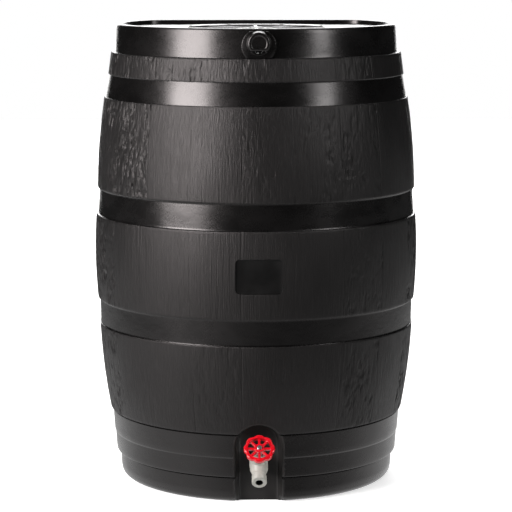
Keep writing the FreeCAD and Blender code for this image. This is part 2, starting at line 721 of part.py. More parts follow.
def make_spigot_body():
    """Tap casting: bulb, inlet, bonnet socket and spout, less the waterway through them."""
    bulb = doc.addObject("Part::Sphere", "bulb")
    bind(bulb, Radius="BulbRadius")
    at_y_z(bulb, "-TapOut", "TapHeight")
    inlet = make_inlet()
    socket = cylinder("socket", "SocketRadius", "SocketTop")
    on_tap(socket, "StemTilt")
    spout = turned_body("spout", spout_section(), "SpoutTilt")
    casting = fuse("tap_casting", [bulb, inlet, socket, spout])

    inlet_bore = cylinder("inlet_bore", "InletBoreRadius", "InletLength - InletBoreEnd")
    on_tap(inlet_bore, "InletTilt", "InletBoreEnd")
    link_bore = cylinder("link_bore", "LinkBoreRadius", "InletBoreEnd - LinkBoreStart + 2")
    at_y_z(link_bore, "-TapOut + LinkBoreStart", "TapHeight - LinkBoreDrop", -90)
    seat_hole = cylinder("seat_hole", "SeatHoleRadius", "SeatHoleEnd - SeatDepth + 1")
    on_tap(seat_hole, "StemTilt", "-SeatHoleEnd")
    chamber = cylinder("chamber", "ChamberRadius", "SeatDepth + SocketTop")
    on_tap(chamber, "StemTilt", "-SeatDepth")
    bonnet_thread = cylinder("bonnet_thread", "BonnetThreadRadius", "SocketTop - BonnetBottom + 0.5")
    on_tap(bonnet_thread, "StemTilt", "BonnetBottom - 0.5")
    spout_bore = cylinder("spout_bore", "SpoutBoreRadius", SPOUT_END)
    on_tap(spout_bore, "SpoutTilt")
    waterway = fuse("waterway", [inlet_bore, link_bore, seat_hole, chamber, bonnet_thread, spout_bore])
    sub_part(cut("tap_body", casting, waterway), "spigot_body")


def make_tap_washers_and_nut():
    """Rubber washers on both sides of the wall, and the nut that clamps them from inside."""
    floor = "TapOut - AlcoveFloor"
    inside = floor + " + WallThickness"
    bore = "InletRadius + ThreadGap"
    outer = ring_corners(bore, "TapWasherRadius", floor + " - TapWasherThickness", floor)
    sub_part(turned_body("tap_outer_washer", outer, "InletTilt"), "spigot_outer_washer")
    inner = ring_corners(bore, "TapWasherRadius", inside, inside + " + TapWasherThickness")
    sub_part(turned_body("tap_inner_washer", inner, "InletTilt"), "spigot_inner_washer")
    blank = hexagon("tap_nut_blank", "TapNutRadius", "TapNutThickness")
    hole = cylinder("tap_nut_bore", bore, "TapNutThickness")
    for piece in (blank, hole):
        on_tap(piece, "InletTilt", inside + " + TapWasherThickness")
    sub_part(cut("tap_nut", blank, hole), "spigot_lock_nut")


def make_bonnet():
    """Bonnet that screws into the socket and guides the stem, with its gasket."""
    seat = "SocketTop + BonnetGasketThickness"
    body = new_body("bonnet")
    core = sketch_on(body, "bonnet_section", "XZ_Plane")
    thread = "BonnetThreadRadius - ThreadGap"
    draw_outline(core, [
        ("StemThreadBore", "BonnetBottom"),
        (thread, "BonnetBottom"),
        (thread, "BonnetHexTop"),
        ("BonnetNeckRadius", "BonnetHexTop"),
        ("BonnetNeckRadius", "BonnetTop"),
        ("PackingRadius", "BonnetTop"),
        ("PackingRadius", "PackingFloor"),
        ("StemThreadBore", "PackingFloor"),
    ])
    revolve(body, "bonnet_core", core)
    flats = sketch_on(body, "bonnet_hexagon", "XY_Plane", seat)
    draw_outline(flats, hexagon_corners("BonnetHexRadius", 0))
    draw_circle(flats, "0", "0", "BonnetThreadRadius - ThreadGap - 1")
    pad(body, "bonnet_flats", flats, "BonnetHexTop - (%s)" % seat)
    on_tap(body, "StemTilt")
    sub_part(body, "spigot_bonnet")

    ring = ring_corners("BonnetThreadRadius", "SocketRadius", "SocketTop", seat)
    sub_part(turned_body("bonnet_seal", ring, "StemTilt"), "bonnet_gasket")


def make_packing():
    """Packing ring in the bonnet's head, and the nut that presses it."""
    bore = "StemRadius + StemFit"
    ring = ring_corners(bore, "PackingRadius - ThreadGap", "PackingFloor", "PackingFloor + PackingThickness")
    sub_part(turned_body("packing_ring", ring, "StemTilt"), "stem_packing")

    height = "PackingNutTop - PackingNutBottom"
    blank = hexagon("packing_nut_blank", "PackingNutRadius", height)
    on_tap(blank, "StemTilt", "PackingNutBottom")
    skirt = cylinder("packing_nut_skirt", "BonnetNeckRadius + ThreadGap", "BonnetTop - PackingNutBottom")
    on_tap(skirt, "StemTilt", "PackingNutBottom")
    hole = cylinder("packing_nut_bore", "StemRadius + 0.4", height)
    on_tap(hole, "StemTilt", "PackingNutBottom")
    space = fuse("packing_nut_space", [skirt, hole])
    sub_part(cut("packing_nut_cap", blank, space), "packing_nut")


def make_valve_stem():
    """Stem from the disc holder's pocket, through its thread and packing, to the handwheel's hub."""
    body = turned_body("stem", [
        ("0", "DiscPocketFloor + StemFit"),
        ("StemRadius", "DiscPocketFloor + StemFit"),
        ("StemRadius", "BonnetBottom"),
        ("StemThreadRadius", "BonnetBottom"),
        ("StemThreadRadius", "BonnetBottom + StemThreadLength"),
        ("StemRadius", "BonnetBottom + StemThreadLength"),
        ("StemRadius", "StemTop"),
        ("WheelScrewRadius", "StemTop"),
        ("WheelScrewRadius", "StemTop - WheelScrewLength"),
        ("0", "StemTop - WheelScrewLength"),
    ], "StemTilt")
    sub_part(body, "valve_stem")


def make_valve_disc():
    """Holder that the stem turns in, with the washer that shuts on the seat and the washer's screw."""
    washer_bottom = "-SeatDepth + SeatGap"
    washer_top = washer_bottom + " + SeatWasherThickness"
    screw = "WheelScrewRadius"
    pocket_radius = "StemRadius + StemFit"
    holder = turned_body("disc_cup", [
        (screw, washer_top),
        ("DiscRadius", washer_top),
        ("DiscRadius", "DiscTop"),
        (pocket_radius, "DiscTop"),
        (pocket_radius, "DiscPocketFloor"),
        ("0", "DiscPocketFloor"),
        ("0", "DiscPocketFloor - 1"),
        (screw, "DiscPocketFloor - 1"),
    ], "StemTilt")
    sub_part(holder, "disc_holder")
    washer = ring_corners(screw, "SeatWasherRadius", washer_bottom, washer_top)
    sub_part(turned_body("disc_washer", washer, "StemTilt"), "seat_washer")
    head = "SeatHoleRadius - 1.4"
    bolt = turned_body("disc_screw", [
        ("0", washer_bottom + " - 1.6"),
        (head, washer_bottom + " - 1.6"),
        (head, washer_bottom),
        (screw, washer_bottom),
        (screw, "DiscPocketFloor - 1"),
        ("0", "DiscPocketFloor - 1"),
    ], "StemTilt")
    sub_part(bolt, "seat_washer_screw")


def make_handwheel():
    """Lobed rim, a spoke to each lobe with openings between them, and a hub on the stem."""
    lobes = int(number("WheelLobes"))
    step = 360.0 / lobes
    bottom = "WheelMiddle - WheelRimThickness / 2"
    top = "WheelMiddle + WheelRimThickness / 2"
    body = new_body("wheel")
    rim = sketch_on(body, "rim_outline", "XY_Plane", bottom)
    half_step = step / 2
    chord = "(2 * WheelValleyRadius * sin(%r deg))" % half_step
    rise = "(WheelRadius - WheelValleyRadius * cos(%r deg))" % half_step
    lobe_radius = "%s^2 / (8 * %s) + %s / 2" % (chord, rise, rise)
    corners = []
    for index in range(lobes):
        angle = "%r deg" % (half_step + index * step)
        valley = ("WheelValleyRadius * cos(%s)" % angle, "WheelValleyRadius * sin(%s)" % angle)
        corners.append(valley + (lobe_radius,))
    draw_outline(rim, corners)
    shape = pad(body, "rim", rim, "WheelRimThickness")
    heights = (number(bottom), number(top))

    def is_upright(edge):
        return abs(edge.Vertexes[0].Z - edge.Vertexes[-1].Z) > 1

    def is_rim_edge(edge):
        return any(abs(edge.BoundBox.ZMin - height) < 0.01 and abs(edge.BoundBox.ZMax - height) < 0.01
                   for height in heights)

    shape = fillet(body, "valleys", shape, "WheelRounding", is_upright)
    fillet(body, "rim_edges", shape, "WheelRounding", is_rim_edge)

    relief = "(WheelRimThickness - WheelWebThickness) / 2"
    for name, height, along in (("front_relief", top, False), ("back_relief", bottom, True)):
        ring = sketch_on(body, name + "_outline", "XY_Plane", height)
        draw_circle(ring, "0", "0", "WheelRimRadius")
        draw_circle(ring, "0", "0", "HubRadius")
        pocket(body, name, ring, relief, along_normal=along)

    hub = sketch_on(body, "hub_outline", "XY_Plane", "HubBottom")
    draw_circle(hub, "0", "0", "HubRadius")
    pad(body, "hub", hub, "StemTop - HubBottom")

    opening = sketch_on(body, "opening_outline", "XY_Plane", "StemTop")
    corners = []
    for side, radius in ((-1, "HubRadius"), (-1, "WheelRimRadius"), (1, "WheelRimRadius"), (1, "HubRadius")):
        turn = "(%r deg + %d * (%r deg - asin(SpokeWidth / 2 / %s)))" % (half_step, side, half_step, radius)
        corners.append(("%s * cos(%s)" % (radius, turn), "%s * sin(%s)" % (radius, turn)))
    corners[1] = corners[1] + ("WheelRimRadius",)
    draw_outline(opening, corners)
    first = pocket(body, "opening", opening, "StemTop - HubBottom")
    repeat_round(body, "openings", first, opening, "WheelLobes")

    bore = sketch_on(body, "hub_bore_outline", "XY_Plane", "StemTop")
    draw_circle(bore, "0", "0", "StemRadius")
    pocket(body, "hub_bore", bore, "2 * WheelRimThickness")
    on_tap(body, "StemTilt")
    sub_part(body, "handwheel")


def make_wheel_screw():
    """Slotted screw and washer that hold the handwheel on its stem."""
    seat = "StemTop + WheelWasherThickness"
    washer = ring_corners("WheelScrewRadius", "WheelWasherRadius", "StemTop", seat)
    sub_part(turned_body("wheel_washer", washer, "StemTilt"), "handwheel_washer")
    head_top = seat + " + WheelScrewHeadHeight"
    bolt = turned_body("wheel_screw", [
        ("0", seat + " - WheelScrewLength"),
        ("WheelScrewRadius", seat + " - WheelScrewLength"),
        ("WheelScrewRadius", seat),
        ("WheelScrewHeadRadius", seat),
        ("WheelScrewHeadRadius", head_top + " - HeadChamfer"),
        ("WheelScrewHeadRadius - HeadChamfer", head_top),
        ("0", head_top),
    ], "StemTilt")
    slot = sketch_on(bolt, "wheel_screw_slot_outline", "XY_Plane", head_top)
    half = "WheelScrewSlot / 2"
    draw_outline(slot, [
        ("-" + half, "-WheelScrewHeadRadius - 1"),
        (half, "-WheelScrewHeadRadius - 1"),
        (half, "WheelScrewHeadRadius + 1"),
        ("-" + half, "WheelScrewHeadRadius + 1"),
    ])
    pocket(bolt, "wheel_screw_slot", slot, "WheelScrewHeadHeight / 2")
    sub_part(bolt, "handwheel_screw")


# ---------------------------------------------------------------- screen

def on_deck(thing, height="0"):
    """Place a thing on the screen's centre line."""
    thing.setExpression("Placement.Base.y", bound("DeckCentre"))
    thing.setExpression("Placement.Base.z", bound(height))


FRAME_BOTTOM = "DeckHeight - ScreenSeatDepth + ScreenRest"
FRAME_TOP = FRAME_BOTTOM + " + ScreenFrameThickness"


def cut_screw_holes(body, name, top, depth):
    """Cut the ring of screw holes down from a height, midway between the ribs."""
    hole = sketch_on(body, name + "_screw_hole_outline", "XY_Plane", top)
    place = ["ScreenScrewCircle * %s(22.5 deg)" % turn for turn in ("cos", "sin")]
    draw_circle(hole, place[0], place[1], "ScreenScrewRadius")
    first = pocket(body, name + "_screw_hole", hole, depth)
    repeat_round(body, name + "_screw_holes", first, hole, "ScreenRibs")


def make_screen_frame():
    """Flat ring that drops into the deck's seat, with ribs to a small hub and screw holes."""
    body = new_body("frame")
    ring = sketch_on(body, "frame_ring_outline", "XY_Plane", FRAME_BOTTOM)
    draw_circle(ring, "0", "0", "ScreenFrameRadius")
    draw_circle(ring, "0", "0", "ScreenFrameInner")
    shape = pad(body, "frame_ring", ring, "ScreenFrameThickness")
    top = number(FRAME_TOP)
    outer = number("ScreenFrameRadius")
    fillet(body, "frame_edge", shape, "ScreenFrameThickness / 2",
           lambda edge: abs(edge.BoundBox.ZMin - top) < 0.01 and abs(edge.BoundBox.XMax - outer) < 0.01)
    hub = sketch_on(body, "frame_hub_outline", "XY_Plane", FRAME_BOTTOM)
    draw_circle(hub, "0", "0", "ScreenHubRadius")
    rib = sketch_on(body, "frame_rib_outline", "XY_Plane", FRAME_BOTTOM)
    draw_outline(rib, [
        ("0", "-ScreenRibWidth / 2"),
        ("ScreenFrameInner + 2", "-ScreenRibWidth / 2"),
        ("ScreenFrameInner + 2", "ScreenRibWidth / 2"),
        ("0", "ScreenRibWidth / 2"),
    ])
    first = pad(body, "frame_rib", rib, "ScreenFrameThickness - 1")
    repeat_round(body, "frame_ribs", first, rib, "ScreenRibs")
    pad(body, "frame_hub", hub, "ScreenFrameThickness")
    cut_screw_holes(body, "frame", FRAME_TOP, "ScreenFrameThickness")
    on_deck(body)
    sub_part(body, "screen_frame")


def make_screen_mesh():
    """Mesh disc under the frame, and the ring that clamps it there."""
    mesh_bottom = FRAME_BOTTOM + " - ScreenMeshThickness"
    ring_bottom = mesh_bottom + " - MeshRingThickness"
    body = new_body("mesh")
    disc = sketch_on(body, "mesh_outline", "XY_Plane", mesh_bottom)
    draw_circle(disc, "0", "0", "ScreenMeshRadius")
    pad(body, "mesh_disc", disc, "ScreenMeshThickness")
    cut_screw_holes(body, "mesh", FRAME_BOTTOM, "ScreenMeshThickness")
    on_deck(body)
    sub_part(body, "screen_mesh")

    clamp = new_body("clamp_ring")
    ring = sketch_on(clamp, "clamp_ring_outline", "XY_Plane", ring_bottom)
    draw_circle(ring, "0", "0", "ScreenMeshRadius")
    draw_circle(ring, "0", "0", "ScreenFrameInner")
    pad(clamp, "clamp_ring_pad", ring, "MeshRingThickness")
    cut_screw_holes(clamp, "clamp_ring", mesh_bottom, "MeshRingThickness")
    on_deck(clamp)
    sub_part(clamp, "mesh_retaining_ring")


def make_screen_screws():
    """Pan-head screws down through the frame, the mesh and the retaining ring, as one group."""
    length = "ScreenFrameThickness + ScreenMeshThickness + MeshRingThickness"
    bolt = new_body("screen_screw")
    section = sketch_on(bolt, "screen_screw_section", "XZ_Plane")
    draw_outline(section, [
        ("0", "-(%s)" % length),
        ("ScreenScrewRadius", "-(%s)" % length),
        ("ScreenScrewRadius", "0"),
        ("ScreenScrewHeadRadius", "0"),
        ("ScreenScrewHeadRadius", "ScreenScrewHeadHeight - HeadChamfer"),
        ("ScreenScrewHeadRadius - HeadChamfer", "ScreenScrewHeadHeight"),
        ("0", "ScreenScrewHeadHeight"),
    ])
    revolve(bolt, "screen_screw_turning", section)
    doc.recompute()
    group = doc.addObject("Part::Feature", "screen_screw_group")
    copies = []
    for index in range(int(number("ScreenRibs"))):
        angle = math.radians(22.5 + 45.0 * index)
        place = FreeCAD.Vector(math.cos(angle), math.sin(angle), 0) * number("ScreenScrewCircle")
        copies.append(bolt.Shape.translated(place))
    group.Shape = Part.makeCompound(copies)
    on_deck(group, FRAME_TOP)
    sub_part(group, "screen_screws")


def check_and_export():
    """Stop if any object failed, then write each sub-part's solids to parts/."""
    doc.recompute()
    for thing in doc.Objects:
        if "Invalid" in thing.State or "Error" in thing.State:
            raise RuntimeError("%s failed: %s" % (thing.Name, thing.State))
    for thing in sub_parts:
        if thing.Shape.isNull() or not thing.Shape.isValid() or not thing.Shape.Solids:
            raise RuntimeError(thing.Label + " has no valid solid")
    os.makedirs("parts", exist_ok=True)
    for thing in sub_parts:
        thing.Shape.exportStep("parts/%s.step" % thing.Label)
        box = thing.Shape.BoundBox
        print("%-22s %d solid(s) %10.1f mm3  x %.1f..%.1f  y %.1f..%.1f  z %.1f..%.1f" % (
            thing.Label, len(thing.Shape.Solids), thing.Shape.Volume,
            box.XMin, box.XMax, box.YMin, box.YMax, box.ZMin, box.ZMax))


for make in (make_barrel_shell, make_overflow_fitting, make_overflow_gasket, make_overflow_lock_nut,
             make_spigot_body, make_tap_washers_and_nut, make_bonnet, make_packing, make_valve_stem,
             make_valve_disc, make_handwheel, make_wheel_screw, make_screen_frame, make_screen_mesh,
             make_screen_screws):
    make()
check_and_export()
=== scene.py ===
"""Rain barrel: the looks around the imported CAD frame. Metres, in the CAD's own frame."""

import math

import bmesh
import bpy
import numpy as np
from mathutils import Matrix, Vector


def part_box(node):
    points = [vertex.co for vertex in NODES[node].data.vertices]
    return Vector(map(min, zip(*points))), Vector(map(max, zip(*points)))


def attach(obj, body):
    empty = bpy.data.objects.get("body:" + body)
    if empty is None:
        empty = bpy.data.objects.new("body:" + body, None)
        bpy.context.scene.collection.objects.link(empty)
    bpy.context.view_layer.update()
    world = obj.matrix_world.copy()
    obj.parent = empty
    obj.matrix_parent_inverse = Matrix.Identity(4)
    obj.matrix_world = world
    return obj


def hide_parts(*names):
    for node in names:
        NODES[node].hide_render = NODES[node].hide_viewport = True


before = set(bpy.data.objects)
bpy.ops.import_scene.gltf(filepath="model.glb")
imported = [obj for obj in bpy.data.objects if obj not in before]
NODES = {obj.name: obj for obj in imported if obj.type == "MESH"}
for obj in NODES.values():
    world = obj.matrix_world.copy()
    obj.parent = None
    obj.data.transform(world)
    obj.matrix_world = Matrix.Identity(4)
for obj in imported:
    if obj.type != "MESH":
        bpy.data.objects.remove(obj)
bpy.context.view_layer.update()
MM = 0.001
SEED = 50

# ---------------- camera

CAMERA_AZIMUTH = math.radians(-1.1)
CAMERA_DISTANCE = 3.991
CAMERA_HEIGHT = 1.003
CAMERA_PITCH = math.radians(-8.42)
CAMERA_LENS = 149.9
CAMERA_SENSOR = 36.0
CAMERA_REACH = 50.0


def add_camera():
    """Long lens from just left of the front, a little above the rim."""
    camera = bpy.data.objects.new("camera", bpy.data.cameras.new("camera"))
    camera.data.lens = CAMERA_LENS
    camera.data.sensor_width = CAMERA_SENSOR
    camera.data.clip_end = CAMERA_REACH
    camera.location = (
        CAMERA_DISTANCE * math.sin(CAMERA_AZIMUTH),
        -CAMERA_DISTANCE * math.cos(CAMERA_AZIMUTH),
        CAMERA_HEIGHT,
    )
    camera.rotation_euler = (math.pi / 2 + CAMERA_PITCH, 0, CAMERA_AZIMUTH)
    bpy.context.scene.collection.objects.link(camera)
    bpy.context.scene.camera = camera


# ---------------- materials

# The middle of a noise's range, which holds nearly all of its values.
NOISE_LOW = 0.3
NOISE_HIGH = 0.7
# Faintly warm tint on the black plastic's sheen, a painted warmth of the studio light.
PAINTED_WARM_SHEEN = (1.0, 0.955, 0.95, 1.0)


def map_range(tree, source, low, high, low_out, high_out):
    """Carry a value from one range over to another. The ends of the ranges are numbers or sockets."""
    node = tree.nodes.new("ShaderNodeMapRange")
    for name, value in (("From Min", low), ("From Max", high), ("To Min", low_out), ("To Max", high_out)):
        if isinstance(value, float):
            node.inputs[name].default_value = value
        else:
            tree.links.new(value, node.inputs[name])
    tree.links.new(source, node.inputs["Value"])
    return node.outputs["Result"]


class Shader:
    """A material's node tree, with short calls for the nodes that it needs."""

    def __init__(self, name):
        self.material = bpy.data.materials.new(name)
        self.material.use_nodes = True
        self.tree = self.material.node_tree
        self.surface = self.tree.nodes["Principled BSDF"]
        self.place = self.tree.nodes.new("ShaderNodeTexCoord").outputs["Object"]

    def link(self, source, target):
        self.tree.links.new(source, target)

    def noise(self, scale, stretch=(1, 1, 1), detail=3.0, rough=0.55):
        """Noise over the object's own coordinates, stretched per axis."""
        mapping = self.tree.nodes.new("ShaderNodeMapping")
        mapping.inputs["Scale"].default_value = stretch
        self.link(self.place, mapping.inputs["Vector"])
        node = self.tree.nodes.new("ShaderNodeTexNoise")
        node.inputs["Scale"].default_value = scale
        node.inputs["Detail"].default_value = detail
        node.inputs["Roughness"].default_value = rough
        self.link(mapping.outputs["Vector"], node.inputs["Vector"])
        return node.outputs["Fac"]

    def ramp(self, source, stops):
        """Colours along a value. A stop is (position, colour)."""
        node = self.tree.nodes.new("ShaderNodeValToRGB")
        elements = node.color_ramp.elements
        while len(elements) < len(stops):
            elements.new(0.5)
        for element, (position, color) in zip(elements, stops):
            element.position = position
            element.color = (*color, 1)
        self.link(source, node.inputs["Fac"])
        return node.outputs["Color"]

    def shades(self, source, dark, pale):
        """Two shades of a colour over the middle of a noise's range."""
        return self.ramp(source, [(NOISE_LOW, dark), (NOISE_HIGH, pale)])

    def span(self, source, low, high, low_out, high_out):
        return map_range(self.tree, source, low, high, low_out, high_out)

    def vary(self, source, low_out, high_out):
        """A value between two limits over the middle of a noise's range."""
        return self.span(source, NOISE_LOW, NOISE_HIGH, low_out, high_out)

    def add(self, first, second):
        node = self.tree.nodes.new("ShaderNodeMath")
        node.operation = "ADD"
        self.link(first, node.inputs[0])
        self.link(second, node.inputs[1])
        return node.outputs["Value"]

    def bump(self, height, distance, strength, under=None):
        """Fine relief, on top of another one where it is given."""
        node = self.tree.nodes.new("ShaderNodeBump")
        node.inputs["Strength"].default_value = strength
        node.inputs["Distance"].default_value = distance
        self.link(height, node.inputs["Height"])
        if under is not None:
            self.link(under, node.inputs["Normal"])
        return node.outputs["Normal"]

    def finish(self, color=None, rough=None, normal=None, **constants):
        """Wire the surface. Constants are set on the shader's own sockets."""
        for name, value in (("Base Color", color), ("Roughness", rough), ("Normal", normal)):
            if value is None:
                continue
            if isinstance(value, (tuple, float, int)):
                self.surface.inputs[name].default_value = (*value, 1) if isinstance(value, tuple) else value
            else:
                self.link(value, self.surface.inputs[name])
        for name, value in constants.items():
            self.surface.inputs[name.replace("_", " ")].default_value = value
        return self.material


def stave_plastic():
    """Charcoal polyethylene moulded with fine upright wood fibres, matt in its hollows."""
    shader = Shader("stave_plastic")
    fibre = shader.noise(420.0, (1, 1, 0.035), 5.0, 0.62)
    patches = shader.noise(7.0, (1, 1, 0.5), 3.0)
    pores = shader.noise(900.0, (1, 1, 0.25), 2.0)
    color = shader.ramp(fibre, [(0.30, (0.0020, 0.0019, 0.0019)), (0.52, (0.0040, 0.0038, 0.0038)),
                                (0.78, (0.0110, 0.0104, 0.0102))])
    rough = shader.add(shader.vary(fibre, 0.52, 0.42), shader.vary(patches, -0.08, 0.08))
    hollow = shader.tree.nodes.new("ShaderNodeNewGeometry").outputs["Pointiness"]
    rough = shader.add(rough, shader.span(hollow, 0.42, 0.49, 0.38, 0.0))
    normal = shader.bump(pores, 0.0003, 0.5, shader.bump(fibre, 0.0009, 0.8))
    # The sheen carries the painted warm tint of the light.
    return shader.finish(color, rough, normal, Specular_IOR_Level=0.37, Specular_Tint=PAINTED_WARM_SHEEN)


def hoop_plastic():
    """The same plastic moulded smooth, with a soft sheen and slight unevenness."""
    shader = Shader("hoop_plastic")
    cloud = shader.noise(16.0, (1, 1, 1.6), 3.0)
    fine = shader.noise(650.0, (1, 1, 0.5), 2.0)
    color = shader.shades(cloud, (0.0016, 0.0015, 0.0015), (0.0030, 0.0028, 0.0028))
    rough = shader.add(shader.vary(cloud, 0.24, 0.31), shader.vary(fine, -0.02, 0.02))
    normal = shader.bump(fine, 0.0001, 0.25, shader.bump(cloud, 0.004, 0.12))
    # The sheen carries the painted warm tint of the light.
    return shader.finish(color, rough, normal, Specular_IOR_Level=0.5, Specular_Tint=PAINTED_WARM_SHEEN)


def grained(name, noise, shades, rough, relief=None, fine=None, **constants):
    """A material whose shade and roughness follow one noise, and its relief the same or a finer one."""
    shader = Shader(name)
    cloud = shader.noise(*noise)
    grain = shader.noise(*fine) if fine else cloud
    color = shader.shades(cloud, *shades)
    rough = shader.vary(cloud, *rough)
    normal = shader.bump(grain, *relief) if relief else None
    return shader.finish(color, rough, normal, **constants)


def inside_plastic():
    """Unpolished inside of the moulding."""
    return grained("inside_plastic", (260.0,), ((0.010, 0.010, 0.011), (0.018, 0.018, 0.018)),
                   (0.55, 0.7), (0.0003, 0.5))


def alcove_painted_light_plastic():
    """The moulding's plastic, matt inside the alcove, in a paler, faintly warm colour that is painted light
    for the glow that reaches the alcove.
    """
    return grained("alcove_painted_light_plastic", (22.0, (1, 1, 0.6)),
                   ((0.0150, 0.0138, 0.0136), (0.0250, 0.0234, 0.0230)),
                   (0.42, 0.54), (0.0002, 0.4), (500.0, (1, 1, 1), 2.0), Specular_IOR_Level=0.28)


def label_plastic():
    """The matt, even skin of the blank label recess."""
    return grained("label_plastic", (30.0,), ((0.0018, 0.0017, 0.0017), (0.0034, 0.0032, 0.0032)),
                   (0.42, 0.52), (0.0002, 0.4), (800.0, (1, 1, 1), 2.0), Specular_IOR_Level=0.2)


def waterway_plastic():
    """Near-black painted shade for the inside of the tap's bores, where the pale plastic lies in shadow."""
    return grained("waterway_plastic", (300.0, (1, 1, 1), 2.0),
                   ((0.0020, 0.0020, 0.0018), (0.0045, 0.0044, 0.0040)),
                   (0.5, 0.65), Specular_IOR_Level=0.2)


def tap_plastic():
    """Pale grey-beige moulded plastic with faint clouding and a satin skin."""
    return grained("tap_plastic", (60.0,), ((0.325, 0.325, 0.295), (0.395, 0.388, 0.352)),
                   (0.30, 0.40), (0.0001, 0.3), (1400.0, (1, 1, 1), 2.0), Specular_IOR_Level=0.5)


def wheel_plastic():
    """Glossy red plastic with a little depth to its colour and fine orange peel."""
    return grained("wheel_plastic", (110.0, (1, 1, 1), 2.0), ((0.48, 0.001, 0.006), (0.64, 0.001, 0.011)),
                   (0.16, 0.23), (0.0001, 0.2), (750.0, (1, 1, 1), 2.0), Coat_Weight=0.3, Coat_Roughness=0.08)


def bright_steel():
    """Plated steel with a fine turned grain."""
    return grained("bright_steel", (1800.0, (1, 0.15, 1)), ((0.55, 0.55, 0.56), (0.78, 0.78, 0.79)),
                   (0.18, 0.32), (0.00006, 0.3), Metallic=1.0)


def dull_steel():
    """Stainless screws with a tumbled, satin surface."""
    return grained("dull_steel", (1200.0,), ((0.30, 0.30, 0.30), (0.42, 0.42, 0.41)),
                   (0.42, 0.55), (0.00006, 0.4), Metallic=1.0)


def brass():
    """Brass with the fine grain of turning."""
    return grained("machined_brass", (1500.0, (1, 1, 0.2)), ((0.56, 0.38, 0.13), (0.76, 0.56, 0.24)),
                   (0.22, 0.36), (0.00006, 0.3), Metallic=1.0)


def black_rubber():
    """Dull black rubber of the washers and gaskets."""
    return grained("black_rubber", (700.0,), ((0.010, 0.010, 0.010), (0.022, 0.022, 0.022)),
                   (0.6, 0.8), (0.0002, 0.5))


def packing_fibre():
    """Dull woven cord round the stem."""
    shader = Shader("packing_fibre")
    weave = shader.noise(900.0, (1, 1, 1), 4.0)
    color = shader.shades(weave, (0.26, 0.24, 0.20), (0.46, 0.43, 0.37))
    return shader.finish(color, 0.85, shader.bump(weave, 0.0003, 0.8))


def screen_plastic():
    """Fine-textured charcoal plastic of the screen's frame."""
    return grained("screen_plastic", (900.0,), ((0.070, 0.070, 0.071), (0.100, 0.100, 0.101)),
                   (0.22, 0.32), (0.0001, 0.2))


def mesh_fibre():
    """Grey coated glass-fibre strands."""
    return grained("mesh_fibre", (500.0,), ((0.400, 0.400, 0.400), (0.540, 0.540, 0.538)),
                   (0.22, 0.34), (0.0001, 0.3))


# ---------------- barrel: the form, in millimetres

# Bands from the ground up: name, radius at the foot and head, top height and back plane, in millimetres.
BANDS = [
    ("base", 256.0, 258.0, 48.5, 162.0),
    ("foot_hoop", 266.5, 272.0, 129.5, 168.0),
    ("low_stave", 276.0, 295.5, 293.0, 175.0),
    ("low_hoop", 293.5, 294.3, 340.0, 168.0),
    ("mid_stave", 298.8, 300.5, 499.0, 175.0),
    ("mid_hoop", 296.0, 294.0, 547.0, 168.0),
    ("high_stave", 297.6, 283.3, 716.0, 175.0),
    ("high_hoop", 281.0, 273.5, 758.0, 168.0),
    ("crown_stave", 275.5, 270.0, 799.0, 175.0),
    ("rim", 263.0, 260.0, 851.0, 168.0),
]
STAVE_BULGE = 3.0
TALL_STAVE = 60.0
# The step round the foot hoop, the groove under it, and the rows of points that carry them.
STEP_HEIGHT = 85.0
STEP_DEPTH = 1.4
STEP_SOFTNESS = 0.8
STEP_GROOVE = 0.25
STEP_GROOVE_DROP = 1.2
STEP_ROWS = (-4.0, -2.8, -2.0, -1.2, -0.5, 0.0, 0.5, 1.2, 2.4)
STEP_CLEARANCE = 5.0
WALL = 5.0
FLOOR = 10.0
FOOT_ROUNDING = 15.0
LIP_ROUNDING = 4.0
LIP_WIDTH = 11.0
DECK = 843.0
RIM_TOP = 851.0
DECK_CENTRE = -35.0
SEAT_RADIUS = 165.0
SEAT_DEPTH = 3.0
OPENING_RADIUS = 140.0
COLLAR_RADIUS = 172.0
COLLAR_DEPTH = 10.0
# Hollow ring under the foot: outer radius, inner radius and depth.
FOOT_RECESS = (188.0, 60.0, 4.0)
# Roundings of a ledge's edge and root, and the share of a low ledge that each may take.
EDGE_ROUNDING = 2.0
ROOT_ROUNDING = 1.2
EDGE_SHARE = 0.55
ROOT_SHARE = 0.3
# Points on a quarter round: inset and drop as shares of its radius.
QUARTER_ROUND = ((0.08, 0.62), (0.29, 0.29), (0.62, 0.08))
# Bands with a groove along the ledge at their top.
GROOVED = ("base", "foot_hoop")
GROOVE_DEPTH = 2.0
GROOVE_HEIGHT = 2.2
LEDGE_REACH = 3.2
CORNER_BLEND = 26.0
STAVE_PITCH = math.radians(18.0)
FIRST_SEAM = math.radians(-6.0)
STAVES = 19
DEEPEST_GRAIN = 3.4
WIDEST = 300.0
FLAT_BACK = 175.0
STAVE_WIDTH = STAVE_PITCH * WIDEST


def is_stave(name):
    return name.endswith("stave")


def moulding_step(height):
    """The foot hoop's lower part lies a little behind its upper part, with a shallow groove between them."""
    groove = STEP_GROOVE * math.exp(-(height - STEP_HEIGHT + STEP_GROOVE_DROP) ** 2)
    return -STEP_DEPTH / (1 + math.exp((height - STEP_HEIGHT) / STEP_SOFTNESS)) - groove


def band_radius(index, height):
    """Outer radius of a band at a height, with the tall staves' bulge and the foot hoop's step."""
    name, foot, head, top, _ = BANDS[index]
    bottom = BANDS[index - 1][3] if index else 0.0
    share = min(max((height - bottom) / (top - bottom), 0.0), 1.0)
    bulge = STAVE_BULGE if is_stave(name) and top - bottom > TALL_STAVE else 0.0
    step = moulding_step(height) if name == "foot_hoop" else 0.0
    return foot + (head - foot) * share + bulge * 4 * share * (1 - share) + step


def band_at(height):
    """Index of the band that holds a height."""
    return next((index for index, band in enumerate(BANDS) if height <= band[3]), len(BANDS) - 1)


